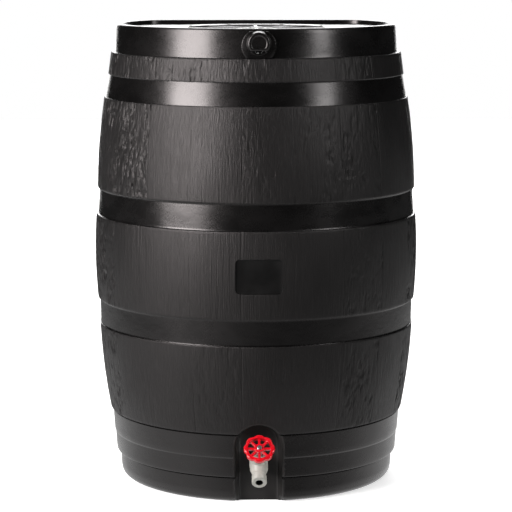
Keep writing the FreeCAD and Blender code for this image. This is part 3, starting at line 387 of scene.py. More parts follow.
def section(angle, radius, back):
    """Distance from the axis of a round section with a flat back and blended corners.

    The angle is from the front, towards +X.
    """
    towards_back = np.maximum(-np.cos(angle), 1e-3)
    flat = np.where(np.cos(angle) < 0, back / towards_back, 1e6)
    flat = np.minimum(flat, radius * 3)
    share = np.clip(0.5 + 0.5 * (flat - radius) / CORNER_BLEND, 0, 1)
    return flat + (radius - flat) * share - CORNER_BLEND * share * (1 - share)


def front_surface(across, height):
    """Y of the barrel's outer face at X and a height, in millimetres."""
    radius = band_radius(band_at(height), height)
    if height < FOOT_ROUNDING:
        drop = FOOT_ROUNDING - max(height, 0.0)
        radius -= FOOT_ROUNDING - math.sqrt(FOOT_ROUNDING ** 2 - drop ** 2)
    return -math.sqrt(radius ** 2 - across ** 2)


# ---------------- barrel: the wood pattern
# A noise's cells are sized by its divisors, in millimetres across and along the grain.

TABLE_SIZE = 256
LAYERS = 3
LAYER_FALLOFF = 0.55
LAYER_SUM = 1.85


def lattice_noise(across, along, seed):
    """Smooth noise in -1..1 over two coordinate arrays, the same on every run."""
    table = np.random.RandomState(seed).uniform(-1, 1, (TABLE_SIZE, TABLE_SIZE))
    cell_x = np.floor(across).astype(int)
    cell_y = np.floor(along).astype(int)
    fx = across - cell_x
    fy = along - cell_y
    fx = fx * fx * (3 - 2 * fx)
    fy = fy * fy * (3 - 2 * fy)
    left, right = cell_x % TABLE_SIZE, (cell_x + 1) % TABLE_SIZE
    low, high = cell_y % TABLE_SIZE, (cell_y + 1) % TABLE_SIZE
    bottom = table[left, low] * (1 - fx) + table[right, low] * fx
    top = table[left, high] * (1 - fx) + table[right, high] * fx
    return bottom * (1 - fy) + top * fy


def layered_noise(across, along, seed):
    """Layers of noise in about -1..1, each twice as fine and weaker than the one before."""
    total = np.zeros_like(across)
    size = 1.0
    for layer in range(LAYERS):
        total += size * lattice_noise(across * 2 ** layer, along * 2 ** layer, seed + layer)
        size *= LAYER_FALLOFF
    return total / LAYER_SUM


def stave_coordinate(angle):
    """Stave number along the section, with whole numbers at the seams."""
    corner = math.acos(-FLAT_BACK / WIDEST)
    half_back = math.sqrt(WIDEST ** 2 - FLAT_BACK ** 2)
    first = (corner - FIRST_SEAM) / STAVE_PITCH
    left = (-corner - FIRST_SEAM) / STAVE_PITCH + STAVES
    turn = np.where(angle < -corner, angle + 2 * math.pi, angle)
    across = -FLAT_BACK * np.tan(turn - math.pi)
    share = (half_back - across) / (2 * half_back)
    round_part = (angle - FIRST_SEAM) / STAVE_PITCH
    return np.where(np.abs(angle) > corner, first + (left - first) * share, round_part)


# Knots: stave coordinate, height, size across and along in millimetres.
KNOTS = [
    (-3.35, 663.0, 9.0, 30.0),
    (-3.05, 600.0, 7.0, 22.0),
    (-3.62, 566.0, 8.0, 18.0),
    (-2.72, 690.0, 7.0, 26.0),
    (2.15, 640.0, 6.0, 30.0),
    (2.22, 445.0, 6.0, 26.0),
    (2.30, 566.0, 5.0, 20.0),
    (-2.20, 395.0, 6.0, 24.0),
    (4.30, 420.0, 8.0, 26.0),
    (4.55, 630.0, 9.0, 28.0),
    (-4.40, 440.0, 8.0, 24.0),
    (0.80, 240.0, 4.0, 18.0),
    (9.40, 420.0, 9.0, 30.0),
    (11.60, 640.0, 8.0, 26.0),
    (7.30, 220.0, 8.0, 26.0),
]
# Reach of a knot past its own size, its push on the grain, and the spacing and depth of its rings.
KNOT_REACH = 2.2
KNOT_PUSH = 0.9
KNOT_FALLOFF = 1.2
RING_SPACING = 9.0
RING_DEPTH = 0.7
# How open the grain of each stave is, counted from the one whose left seam is the first seam.
OPEN_GRAIN = {
    -5: 1.1, -4: 1.3, -3: 1.3, -2: 0.8, -1: 0.6, 0: 0.5,
    1: 0.6, 2: 1.0, 3: 0.7, 4: 1.2, 5: 0.8, 6: 1.0,
}
OTHER_GRAIN = 0.9
# How far the grain of one board may be shifted along from the next one's.
BOARD_SHIFT = 400.0
# Depths in millimetres of the parts of the pattern, and the share of the noise that makes a crack.
FACE_DEPTH = 0.1
COARSE_DEPTH = 0.14
FIBRE_DEPTH = 0.22
CRACK_DEPTH = 0.5
CRACK_WIDTH = 0.16
FLAKE_DEPTH = 1.3
PIT_DEPTH = 2.6
# A seam's narrow groove and the wide one round it: depth and half width.
SEAM = (0.42, 0.9)
SEAM_VALLEY = (0.08, 4.0)
# Rough, bark-like boards of each band: stave number, with how rough the board is.
BARK = {
    "low_stave": {-4: 0.4, -1: 0.12, 2: 0.3, 4: 0.6, 7: 0.5, 10: 0.6},
    "mid_stave": {-5: 0.6, -4: 0.6, 2: 0.2, 4: 0.7, 8: 0.6, 11: 0.7},
    "high_stave": {-5: 0.7, -4: 1.0, -3: 1.0, 0: 0.16, 1: 0.22, 2: 0.5, 5: 0.8, 9: 0.7, 12: 0.6},
    "crown_stave": {-4: 0.6, -3: 0.7, -2: 0.4, -1: 0.35, 0: 0.25, 2: 0.35, 8: 0.5},
}


def board_values(stave, band):
    """Grain and bark strength for an array of stave numbers in one band."""
    numbers, places = np.unique(stave, return_inverse=True)
    signed = [(int(number) + 5) % STAVES - 5 for number in numbers]
    grain = np.array([OPEN_GRAIN.get(number, OTHER_GRAIN) for number in signed])
    bark = np.array([BARK[band].get(number, 0.0) for number in signed])
    return grain[places], bark[places]


def knot_flow(coordinate, height):
    """How far the knots push the grain aside, in millimetres, and the strength of their rings."""
    warp = np.zeros_like(coordinate)
    rings = np.zeros_like(coordinate)
    for place, level, across, along in KNOTS:
        dx = ((coordinate - place + STAVES / 2) % STAVES - STAVES / 2) * STAVE_WIDTH
        dz = height - level
        reach = np.sqrt((dx / (across * KNOT_REACH)) ** 2 + (dz / (along * KNOT_REACH)) ** 2)
        warp += np.sign(dx) * across * KNOT_PUSH * np.exp(-(reach ** 2) * KNOT_FALLOFF)
        inner = np.sqrt((dx / across) ** 2 + (dz / along) ** 2)
        rings += np.exp(-(inner ** 2)) * (0.5 + 0.5 * np.cos(inner * RING_SPACING))
    return warp, rings


def grain_depth(across, along):
    """Depth of broad grain, fine fibres and short cracks in a board of middling grain."""
    coarse = layered_noise(across / 8.0, along / 180.0, SEED + 2)
    fibres = layered_noise(across / 3.2, along / 60.0, SEED + 5)
    narrow = np.abs(lattice_noise(across / 5.0, along / 90.0, SEED + 9))
    cracks = np.clip(CRACK_WIDTH - narrow, 0, CRACK_WIDTH) / CRACK_WIDTH
    cracks *= np.clip(lattice_noise(across / 26.0, along / 60.0, SEED + 11) * 2.0, 0, 1)
    return COARSE_DEPTH * (coarse + 1) + FIBRE_DEPTH * (fibres + 1) + CRACK_DEPTH * cracks


def bark_depth(across, along, bark):
    """Depth of the flakes and pits of rough boards, by how rough each board is."""
    bent = across + 3.0 * lattice_noise(across / 9.0, along / 11.0, SEED + 17)
    flakes = np.clip(layered_noise(bent / 3.6, along / 8.0, SEED + 18) * 3.0 - 0.2, 0, 1)
    pits = np.clip(layered_noise(bent / 8.0, along / 17.0, SEED + 22) * 5.0 - 0.9, 0, 1)
    spread = np.clip(0.9 + 0.9 * lattice_noise(across / 24.0, along / 42.0, SEED + 27), 0.2, 1.3)
    return bark * spread * (FLAKE_DEPTH * flakes + PIT_DEPTH * pits)


def seam_depth(coordinate, height):
    """Depth of the seams between staves: a narrow groove in a shallow wide one, more open in some places."""
    seam = np.round(coordinate)
    from_seam = np.abs(coordinate - seam) * STAVE_WIDTH
    open_seam = 0.55 + 0.45 * lattice_noise(seam * 5.7, height / 130.0 + seam, SEED + 31)
    groove, valley = (depth * np.exp(-(from_seam / half) ** 2) for depth, half in (SEAM, SEAM_VALLEY))
    return open_seam * (groove + valley)


def wood_depth(angle, height, band):
    """Depth in millimetres of the moulded wood pattern below the stave's face."""
    coordinate = stave_coordinate(angle)
    stave = np.floor(coordinate)
    offset = lattice_noise(stave * 7.3, np.zeros_like(stave) + 0.5, SEED) * BOARD_SHIFT
    warp, rings = knot_flow(coordinate, height)
    along = height + offset
    wander = 3.0 * lattice_noise(coordinate * 1.3, along / 170.0, SEED + 1)
    across = coordinate * STAVE_WIDTH - warp + wander
    grain, bark = board_values(stave, band)
    fine = grain_depth(across, along)
    patch = np.clip(0.6 + 0.9 * lattice_noise(coordinate * 1.9, height / 60.0, SEED + 14), 0.2, 1.4)
    depth = FACE_DEPTH + grain * patch * fine
    depth += bark_depth(across, along, bark)
    depth += rings * RING_DEPTH
    depth += seam_depth(coordinate, height)
    return DEEPEST_GRAIN * np.tanh(depth / DEEPEST_GRAIN)


# ---------------- barrel: the mesh

COLUMNS = 960
ROW_STEP = 3.0
HOOP_ROW_STEP = ROW_STEP * 1.8
HOLLOW_COLUMNS = 192
FIRST_ROW = 2.0
FOOT_STEPS = 6
LIP_STEPS = 5
STAVE_FACE, HOOP_FACE, INSIDE_FACE, ALCOVE_FACE, LABEL_FACE = 0, 1, 2, 3, 4
BARREL_FINISHES = ("stave", "hoop", "inside", "alcove", "label")
# Density of columns on the flat back and on the round part behind the sides, as a share of the front's,
# and how much closer they stand within a reach of a seam.
ANGLE_SAMPLES = 40001
BACK_DENSITY = 0.45
SIDE_DENSITY = 0.6
SIDE_START = math.radians(100)
SEAM_DENSITY = 1.2
SEAM_REACH = 2.5
# Small ring round the middle of a cap.
CAP_RADIUS = 4.0


def column_angles():
    """Angles of the mesh's columns, closer together at the seams and on the front."""
    corner = math.acos(-FLAT_BACK / WIDEST)
    fine = np.linspace(-math.pi, math.pi, ANGLE_SAMPLES)
    coordinate = stave_coordinate(fine)
    from_seam = np.abs(coordinate - np.round(coordinate)) * STAVE_PITCH * WIDEST
    arc = section(fine, WIDEST, FLAT_BACK)
    round_weight = np.where(np.abs(fine) > SIDE_START, SIDE_DENSITY, 1.0)
    weight = arc * np.where(np.abs(fine) > corner, BACK_DENSITY, round_weight)
    weight *= 1 + SEAM_DENSITY * np.exp(-(from_seam / SEAM_REACH) ** 2)
    total = np.concatenate(([0], np.cumsum((weight[1:] + weight[:-1]) / 2)))
    return np.interp(np.arange(COLUMNS) / COLUMNS * total[-1], total, fine)


def outer_rings():
    """Rings up the outside: radius, back plane, height, wood share and band."""
    rings = []
    for step in range(FOOT_STEPS + 1):
        turn = math.pi / 2 * step / FOOT_STEPS
        inset = FOOT_ROUNDING * (1 - math.sin(turn))
        radius = band_radius(0, 0) - inset
        rings.append((radius, BANDS[0][4] - inset, FOOT_ROUNDING * (1 - math.cos(turn)), 0.0, "base"))
    for index, (name, _, _, top, back) in enumerate(BANDS):
        wood = 1.0 if is_stave(name) else 0.0
        bottom = BANDS[index - 1][3] if index else FOOT_ROUNDING
        start = bottom + (LEDGE_REACH if index else FIRST_ROW)
        end = top - (LEDGE_REACH if index + 1 < len(BANDS) else LIP_ROUNDING)
        count = max(2, int(round((end - start) / (ROW_STEP if wood else HOOP_ROW_STEP))))
        heights = [start + (end - start) * step / count for step in range(count + 1)]
        if name == "foot_hoop":
            heights = [height for height in heights if abs(height - STEP_HEIGHT) > STEP_CLEARANCE]
            heights = sorted(heights + [STEP_HEIGHT + offset for offset in STEP_ROWS])
        rings += [(band_radius(index, height), back, height, wood, name) for height in heights]
        if index + 1 < len(BANDS):
            rings += ledge(index)
    radius, back = band_radius(len(BANDS) - 1, RIM_TOP), BANDS[-1][4]
    for step in range(1, LIP_STEPS + 1):
        turn = math.pi / 2 * step / LIP_STEPS
        inset = LIP_ROUNDING * (1 - math.cos(turn))
        drop = LIP_ROUNDING * (1 - math.sin(turn))
        rings.append((radius - inset, back - inset, RIM_TOP - drop, 0.0, "rim"))
    return rings


def ledge(index):
    """Rings over the step from one band to the next, with a rounded edge and a groove in some roots."""
    height = BANDS[index][3]
    lower, upper = band_radius(index, height), band_radius(index + 1, height)
    lower_back, upper_back = BANDS[index][4], BANDS[index + 1][4]
    proud_below = lower > upper
    outer, inner = max(lower, upper), min(lower, upper)
    outer_back = lower_back if proud_below else upper_back
    inner_back = upper_back if proud_below else lower_back
    side = -1 if proud_below else 1
    edge = min(EDGE_ROUNDING, EDGE_SHARE * (outer - inner))
    root = min(ROOT_ROUNDING, ROOT_SHARE * (outer - inner))
    steps = [(outer - inset * edge, side * drop * edge) for inset, drop in QUARTER_ROUND]
    steps.append((outer - edge, 0.0))
    if BANDS[index][0] in GROOVED:
        steps += [
            (inner - GROOVE_DEPTH, 0.0),
            (inner - GROOVE_DEPTH, -side * 0.7 * GROOVE_HEIGHT),
            (inner - root, -side * GROOVE_HEIGHT),
            (inner, -side * (GROOVE_HEIGHT + root)),
        ]
    else:
        steps += [(inner + root, 0.0), (inner + 0.3 * root, -side * 0.3 * root), (inner, -side * root)]
    if not proud_below:
        steps.reverse()
    name = BANDS[index][0] if proud_below else BANDS[index + 1][0]
    rings = []
    for radius, rise in steps:
        share = max((radius - inner) / (outer - inner), 0.0)
        back = inner_back + (outer_back - inner_back) * share
        rings.append((radius, back, height + rise, share if is_stave(name) else 0.0, name))
    return rings


def loft(name, rings):
    """Closed mesh through rings of points, capped at both ends. A ring is (points, face material)."""
    count = len(rings[0][0])
    points = np.concatenate([ring for ring, _ in rings])
    column = np.arange(count)
    following = (column + 1) % count
    quads = []
    faces = []
    for index in range(len(rings) - 1):
        low, high = index * count, (index + 1) * count
        quads.append(np.stack([low + column, low + following, high + following, high + column], axis=1))
        faces.append(np.full(count, rings[index + 1][1]))
    quads = np.concatenate(quads)
    faces = np.concatenate(faces)
    mesh = bpy.data.meshes.new(name)
    caps = [list(column[::-1]), list((len(rings) - 1) * count + column)]
    mesh.from_pydata(points * MM, [], quads.tolist() + caps)
    mesh.polygons.foreach_set("material_index", np.concatenate([faces, [rings[0][1], rings[-1][1]]]))
    mesh.update()
    return mesh


def outline_ring(angles, radius, back, height, wood=0.0, band="", face=HOOP_FACE):
    """Points of a round section with a flat back, sunk by the wood pattern of a stave's band."""
    heights = np.full_like(angles, height)
    depth = wood * wood_depth(angles, heights, band) if wood else 0.0
    distance = section(angles, radius - depth, back - depth)
    return np.stack([distance * np.sin(angles), -distance * np.cos(angles), heights], axis=1), face


def circle_ring(angles, radius, height, face=HOOP_FACE):
    heights = np.full_like(angles, height)
    return np.stack([radius * np.sin(angles), DECK_CENTRE - radius * np.cos(angles), heights], axis=1), face


def outside_mesh():
    """The whole outer form as one closed solid, from under the foot to a blind hole in the deck."""
    angles = column_angles()
    recess_radius, pad_radius, recess_depth = FOOT_RECESS
    rings = [
        circle_ring(angles, CAP_RADIUS, 0.0),
        circle_ring(angles, pad_radius - 1, 0.0),
        circle_ring(angles, pad_radius, 1.0),
        circle_ring(angles, pad_radius, recess_depth - 1),
        circle_ring(angles, pad_radius + 1, recess_depth),
        circle_ring(angles, recess_radius - 1, recess_depth),
        circle_ring(angles, recess_radius, recess_depth - 1),
        circle_ring(angles, recess_radius, 1.0),
        circle_ring(angles, recess_radius + 1, 0.0),
    ]
    for radius, back, height, wood, band in outer_rings():
        face = STAVE_FACE if wood > 0.6 else HOOP_FACE
        rings.append(outline_ring(angles, radius, back, height, wood, band, face))
    radius = band_radius(len(BANDS) - 1, RIM_TOP) - LIP_WIDTH
    back = BANDS[-1][4] - LIP_WIDTH
    for inset, height in ((-0.8, RIM_TOP), (-0.25, RIM_TOP - 0.25), (0.0, RIM_TOP - 0.8), (0.0, DECK + 1.2),
                          (0.35, DECK + 0.35), (1.2, DECK), (14.0, DECK)):
        rings.append(outline_ring(angles, radius - inset, back - inset, height))
    seat = DECK - SEAT_DEPTH
    for radius, height in ((SEAT_RADIUS + 1.0, DECK), (SEAT_RADIUS, DECK - 1.0), (SEAT_RADIUS, seat),
                           (OPENING_RADIUS + 1.0, seat), (OPENING_RADIUS, seat - 1.0),
                           (OPENING_RADIUS, DECK - WALL - COLLAR_DEPTH - 8.0)):
        rings.append(circle_ring(angles, radius, height))
    rings.append(circle_ring(angles, CAP_RADIUS, rings[-1][0][0][2]))
    return loft("barrel_moulding", rings)


def hollow_mesh():
    """The tank's inside as a closed solid, under the deck and inside the collar."""
    angles = np.linspace(-math.pi, math.pi, HOLLOW_COLUMNS + 1)[:-1]
    ceiling = DECK - WALL
    collar = ceiling - COLLAR_DEPTH
    rings = [circle_ring(angles, CAP_RADIUS, FLOOR, INSIDE_FACE)]
    for index, (_, _, _, top, back) in enumerate(BANDS):
        bottom = BANDS[index - 1][3] if index else FLOOR
        heights = [bottom, bottom + (top - bottom) / 2, top]
        if index:
            grows = band_radius(index, bottom) > band_radius(index - 1, bottom)
            heights[0] += WALL if grows else -WALL
        if index + 1 < len(BANDS):
            grows = band_radius(index + 1, top) > band_radius(index, top)
            heights[2] += WALL if grows else -WALL
        else:
            heights[2] = ceiling
        for height in heights:
            radius = band_radius(index, height) - WALL
            rings.append(outline_ring(angles, radius, back - WALL, height, face=INSIDE_FACE))
    rings.append(circle_ring(angles, COLLAR_RADIUS, ceiling, INSIDE_FACE))
    rings.append(circle_ring(angles, COLLAR_RADIUS, collar, INSIDE_FACE))
    rings.append(circle_ring(angles, CAP_RADIUS, collar, INSIDE_FACE))
    return loft("tank_hollow", rings)


def prism_mesh(name, layers, face=HOOP_FACE):
    """Closed mesh through layers of outline points in millimetres, all with the same count."""
    mesh = loft(name, [(np.array(layer), face) for layer in layers])
    work = bmesh.new()
    work.from_mesh(mesh)
    bmesh.ops.recalc_face_normals(work, faces=work.faces)
    work.to_mesh(mesh)
    work.free()
    return mesh


def arch_outline(half, centre, bottom, side_steps=14, arch_steps=28):
    """Points (x, z) of an upright arch, from its bottom right corner round to its bottom left."""
    points = [(half, bottom + (centre - bottom) * step / side_steps) for step in range(side_steps)]
    for step in range(arch_steps + 1):
        turn = math.pi * step / arch_steps
        points.append((half * math.cos(turn), centre + half * math.sin(turn)))
    points += [(-half, centre - (centre - bottom) * step / side_steps) for step in range(1, side_steps + 1)]
    return points


ALCOVE_FLOOR = -232.0
ALCOVE_HALF = 36.5
ALCOVE_CENTRE = 106.0
ALCOVE_FLARE = math.tan(math.radians(10.0))
# Lower ends of the alcove, which opens below the foot, and of the wall that the hollow leaves round it.
ALCOVE_BOTTOM = -8.0
ALCOVE_WALL_BOTTOM = 4.0
ALCOVE_REACH = 30.0
ALCOVE_SIDE_END = 6.0
MOUTH_ROUNDING = 5.0
MOUTH_GROW = 3.0
FLOOR_ROUNDING = 5.0
CURVE_STEPS = 5
# How far a cut stands off the outer face before it runs straight out, and where it ends.
CUT_CLEARANCE = 0.6
FAR_FRONT = -340.0


def alcove_layers(inset, rounded):
    """Outlines of the alcove from its floor out to the front. The inset keeps a wall for the hollow."""
    floor = ALCOVE_FLOOR + inset
    layers = []

    def layer(grow, depth_of):
        bottom = ALCOVE_WALL_BOTTOM if inset else ALCOVE_BOTTOM
        outline = arch_outline(ALCOVE_HALF + inset + grow, ALCOVE_CENTRE, bottom)
        layers.append([(x, depth_of(x, z), z) for x, z in outline])

    if not rounded:
        layer(0.0, lambda x, z: floor)
        layer((floor - FAR_FRONT) * ALCOVE_FLARE, lambda x, z: FAR_FRONT)
        return layers
    for step in range(CURVE_STEPS + 1):
        turn = math.pi / 2 * step / CURVE_STEPS
        grow = -FLOOR_ROUNDING * (1 - math.sin(turn))
        out = FLOOR_ROUNDING * (1 - math.cos(turn))
        layer(grow, lambda x, z, out=out: floor - out)
    spread = ALCOVE_REACH * ALCOVE_FLARE
    for share in (0.25, 0.5, 0.75):
        layer(ALCOVE_REACH * share * ALCOVE_FLARE,
              lambda x, z, share=share: floor - FLOOR_ROUNDING
              + share * (front_surface(x, z) + ALCOVE_SIDE_END - floor + FLOOR_ROUNDING))
    for step in range(CURVE_STEPS + 1):
        turn = math.pi / 2 * step / CURVE_STEPS
        grow = spread + MOUTH_ROUNDING * (1 - math.cos(turn))
        depth = MOUTH_ROUNDING * (1 - math.sin(turn))
        layer(grow, lambda x, z, depth=depth: front_surface(x, z) + depth)
    layer(spread + MOUTH_ROUNDING + MOUTH_GROW, lambda x, z: front_surface(x, z) - CUT_CLEARANCE)
    layer(spread + MOUTH_ROUNDING + MOUTH_GROW, lambda x, z: FAR_FRONT)
    return layers


LABEL_HALF_WIDTH = 41.0
LABEL_BOTTOM = 389.0
LABEL_TOP = 449.5
LABEL_ROUNDING = 7.0
LABEL_FLOOR_RADIUS = 300.0


def rounded_rectangle(half_width, bottom, top, rounding, steps=6, side_steps=10):
    """Points (x, z) round a rectangle with rounded corners, with extra points along its level sides."""
    points = []
    low, high = bottom + rounding, top - rounding
    corners = ((1, low, -90), (1, high, 0), (-1, high, 90), (-1, low, 180))
    for index, (side, height, start) in enumerate(corners):
        centre = side * (half_width - rounding)
        for step in range(steps + 1):
            turn = math.radians(start + 90 * step / steps)
            points.append((centre + rounding * math.cos(turn), height + rounding * math.sin(turn)))
        if index in (1, 3):
            for step in range(1, side_steps):
                share = step / side_steps
                points.append((centre * (1 - 2 * share), top if index == 1 else bottom))
    return points


def label_layers():
    """Outlines of the blank label recess, with a curved floor and softened edges."""
    layers = []

    def layer(grow, depth_of):
        bottom, top = LABEL_BOTTOM - grow, LABEL_TOP + grow
        outline = rounded_rectangle(LABEL_HALF_WIDTH + grow, bottom, top, LABEL_ROUNDING + grow)
        layers.append([(x, depth_of(x, z), z) for x, z in outline])

    def floor(x, z):
        return -math.sqrt(LABEL_FLOOR_RADIUS ** 2 - x ** 2)

    layer(-1.0, floor)
    layer(-0.3, lambda x, z: floor(x, z) - 0.3)
    layer(0.0, lambda x, z: floor(x, z) - 1.0)
    layer(0.0, lambda x, z: front_surface(x, z) + 1.2)
    layer(0.4, lambda x, z: front_surface(x, z) + 0.4)
    layer(1.4, lambda x, z: front_surface(x, z))
    layer(2.0, lambda x, z: front_surface(x, z) - 1.0)
    layer(2.0, lambda x, z: FAR_FRONT)
    return layers


PAD_RADIUS = 30.4
PAD_CENTRE = 820.6
PAD_FACE = -266.0
PAD_ROOT = -247.0
PAD_BOTTOM = 799.5
PAD_STEPS = 72
# Holes through the wall: radius, height and the depths where the drill starts and ends.
OVERFLOW_HOLE = (12.9, 818.0, -280.0, -240.0)
TAP_HOLE = (13.6, 75.0, -250.0, -215.0)
HOLE_STEPS = 64


def pad_layers():
    """Flat round pad on the rim, cut off at the ledge below it and at the rim's rounding."""
    high = RIM_TOP - LIP_ROUNDING - 0.5
    layers = []
    for grow, depth in ((-1.5, PAD_FACE), (-0.45, PAD_FACE + 0.45), (0.0, PAD_FACE + 1.5), (0.0, PAD_ROOT)):
        outline = []
        for step in range(PAD_STEPS):
            turn = 2 * math.pi * step / PAD_STEPS
            x = (PAD_RADIUS + grow) * math.cos(turn)
            z = PAD_CENTRE + (PAD_RADIUS + grow) * math.sin(turn)
            outline.append((x, depth, min(max(z, PAD_BOTTOM), high + grow * 0.5)))
        layers.append(outline)
    return layers


def drill_layers(radius, height, near, far):
    """Round hole along Y between two depths."""
    turns = [2 * math.pi * step / HOLE_STEPS for step in range(HOLE_STEPS)]
    outline = [(radius * math.cos(turn), height + radius * math.sin(turn)) for turn in turns]
    return [[(x, depth, z) for x, z in outline] for depth in (near, far)]


CREASE = math.radians(35.0)


def add_object(name, mesh):
    """Put a mesh into the scene as an object."""
    thing = bpy.data.objects.new(name, mesh)
    bpy.context.scene.collection.objects.link(thing)
    return thing


def combine(base, mesh, operation):
    """Apply one boolean with a temporary tool mesh."""
    tool = add_object("tool_" + mesh.name, mesh)
    for material in base.data.materials:
        mesh.materials.append(material)
    modifier = base.modifiers.new("combine", "BOOLEAN")
    modifier.object = tool
    modifier.operation = operation
    modifier.solver = "MANIFOLD"
    apply_modifiers(base)
    bpy.data.objects.remove(tool)


def apply_modifiers(thing):
    """Put the evaluated mesh in place of the object's own and drop its modifiers."""
    bpy.context.view_layer.update()
    evaluated = thing.evaluated_get(bpy.context.evaluated_depsgraph_get())
    mesh = bpy.data.meshes.new_from_object(evaluated)
    thing.modifiers.clear()
    thing.data = mesh


def make_barrel(materials):
    """The moulding: outer form less the hollow, the alcove, the label recess and the holes."""
    shell = add_object("barrel_moulding", outside_mesh())
    hollow = add_object("hollow", hollow_mesh())
    for key in BARREL_FINISHES:
        shell.data.materials.append(materials[key])
        hollow.data.materials.append(materials[key])
    combine(hollow, prism_mesh("alcove_wall", alcove_layers(WALL, False), INSIDE_FACE), "DIFFERENCE")
    combine(shell, prism_mesh("pad", pad_layers()), "UNION")
    hollow_tool = hollow.data.copy()
    hollow_tool.materials.clear()
    bpy.data.objects.remove(hollow)
    combine(shell, hollow_tool, "DIFFERENCE")
    combine(shell, prism_mesh("alcove", alcove_layers(0.0, True), ALCOVE_FACE), "DIFFERENCE")
    combine(shell, prism_mesh("label", label_layers(), LABEL_FACE), "DIFFERENCE")
    combine(shell, prism_mesh("tap_hole", drill_layers(*TAP_HOLE), INSIDE_FACE), "DIFFERENCE")
    combine(shell, prism_mesh("overflow_hole", drill_layers(*OVERFLOW_HOLE), INSIDE_FACE), "DIFFERENCE")
    shell.data.shade_smooth()
    shell.data.set_sharp_from_angle(angle=CREASE)
    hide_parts("barrel_shell")
    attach(shell, "barrel")


# ---------------- moulded plastic parts

def soften(node, name, voxel, passes, material, body):
    """A copy of a CAD node with its edges softened as a moulding's are, in place of the node."""
    mesh = NODES[node].data.copy()
    mesh.materials.clear()
    piece = add_object(name, mesh)
    remesh = piece.modifiers.new("remesh", "REMESH")
    remesh.mode = "VOXEL"
    remesh.voxel_size = voxel
    relax = piece.modifiers.new("relax", "SMOOTH")
    relax.factor = 0.5
    relax.iterations = passes
    apply_modifiers(piece)
    piece.data.materials.append(material)
    piece.data.shade_smooth()
    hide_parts(node)
    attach(piece, body)
    return piece


SPOUT_TILT = math.radians(122.0)
# Bores of the tap: start in millimetres, direction, and a radius just over the bore's own.
TAP_BORES = [
    ((0, -270.0, 75.0), (0, -math.sin(SPOUT_TILT), math.cos(SPOUT_TILT)), 6.7),
    ((0, -252.0, 75.0), (0, 1, 0), 8.5),
]


def paint_bore_shade(piece, material):
    """Give the faces inside the spout's and inlet's bores the near-black painted shade."""
    piece.data.materials.append(material)
    for start, direction, radius in TAP_BORES:
        for face in piece.data.polygons:
            reach = face.center - Vector(start) * MM
            along = reach.dot(Vector(direction))
            across = (reach - Vector(direction) * along).length
            if along > 0 and across < radius * MM:
                face.material_index = 1


# ---------------- screen mesh

STRAND_PITCH = 3.6
STRAND_HALF_WIDTH = 0.35
STRAND_HALF_THICKNESS = 0.16
WEAVE_SHARE = 0.8
MESH_MARGIN = 1.0


def make_screen_mesh(material):
    """Plain-woven strands over and under one another, cut to the frame's circle."""
    low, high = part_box("screen_mesh")
    centre = (low + high) / 2 / MM
    radius = (high.x - low.x) / 2 / MM - MESH_MARGIN
    lift = (high.z - low.z) / 2 / MM - STRAND_HALF_THICKNESS
    count = int(radius / STRAND_PITCH)
    points = []
    faces = []
    corners = ((-1, -1), (1, -1), (1, 1), (-1, 1))

    def strand(offset, number, along_x):
        half = math.sqrt(radius ** 2 - offset ** 2)
        steps = int(half / STRAND_PITCH)
        start = len(points)
        for step in range(-steps, steps + 1):
            side = 1 if (step + number + (0 if along_x else 1)) % 2 else -1
            place = step * STRAND_PITCH
            for width, thick in corners:
                across = offset + width * STRAND_HALF_WIDTH
                x, y = (place, across) if along_x else (across, place)
                z = side * lift * WEAVE_SHARE + thick * STRAND_HALF_THICKNESS
                points.append(((centre.x + x) * MM, (centre.y + y) * MM, (centre.z + z) * MM))
        for ring in range(2 * steps):
            base = start + ring * 4
            for corner in range(4):
                following = (corner + 1) % 4
                face = (base + corner, base + following, base + 4 + following, base + 4 + corner)
                faces.append(face if along_x else face[::-1])
        last = start + 2 * steps * 4
        caps = [(start + 3, start + 2, start + 1, start), (last, last + 1, last + 2, last + 3)]
        faces.extend(caps if along_x else [cap[::-1] for cap in caps])

    for number in range(-count, count + 1):
        strand(number * STRAND_PITCH, number, True)
        strand(number * STRAND_PITCH, number, False)
    mesh = bpy.data.meshes.new("woven_mesh")
    mesh.from_pydata(points, [], faces)
    mesh.materials.append(material)
    piece = add_object("woven_mesh", mesh)
    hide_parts("screen_mesh")
    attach(piece, "screen")


# ---------------- carried-over nodes

NODE_FINISH = {
    "spigot_outer_washer": "rubber",
    "spigot_inner_washer": "rubber",
    "spigot_lock_nut": "tap",
    "bonnet_gasket": "rubber",
    "stem_packing": "packing",
    "overflow_gasket": "rubber",
    "overflow_lock_nut": "hoop",
    "disc_holder": "brass",
    "seat_washer": "rubber",
    "seat_washer_screw": "steel",
    "valve_stem": "brass",
    "handwheel_washer": "steel",
    "handwheel_screw": "steel",
    "screen_frame": "screen",
    "mesh_retaining_ring": "screen",
    "screen_screws": "dull_steel",
}


def finish_nodes(materials):
    """Give every CAD node that shows its real finish."""
    for node, finish in NODE_FINISH.items():
        mesh = NODES[node].data
        mesh.materials.clear()
        mesh.materials.append(materials[finish])


# ---------------- stage

# Brightness of the ground in front and at the sides, how far it leans to the left, and of the walls.
GROUND_GLOW = (0.30, 1.15)
GROUND_LEAN = -0.45
WALL_GLOW = 0.02
TAP_TARGET = Vector((0.005, -0.28, 0.08))
TAP_SPOT_PLACE = Vector((1.27, -0.79, 0.22))
LAMP_DISTANCE = 2.3
FLOOR_DROP = 0.0005
WHITE = (1, 1, 1, 1)


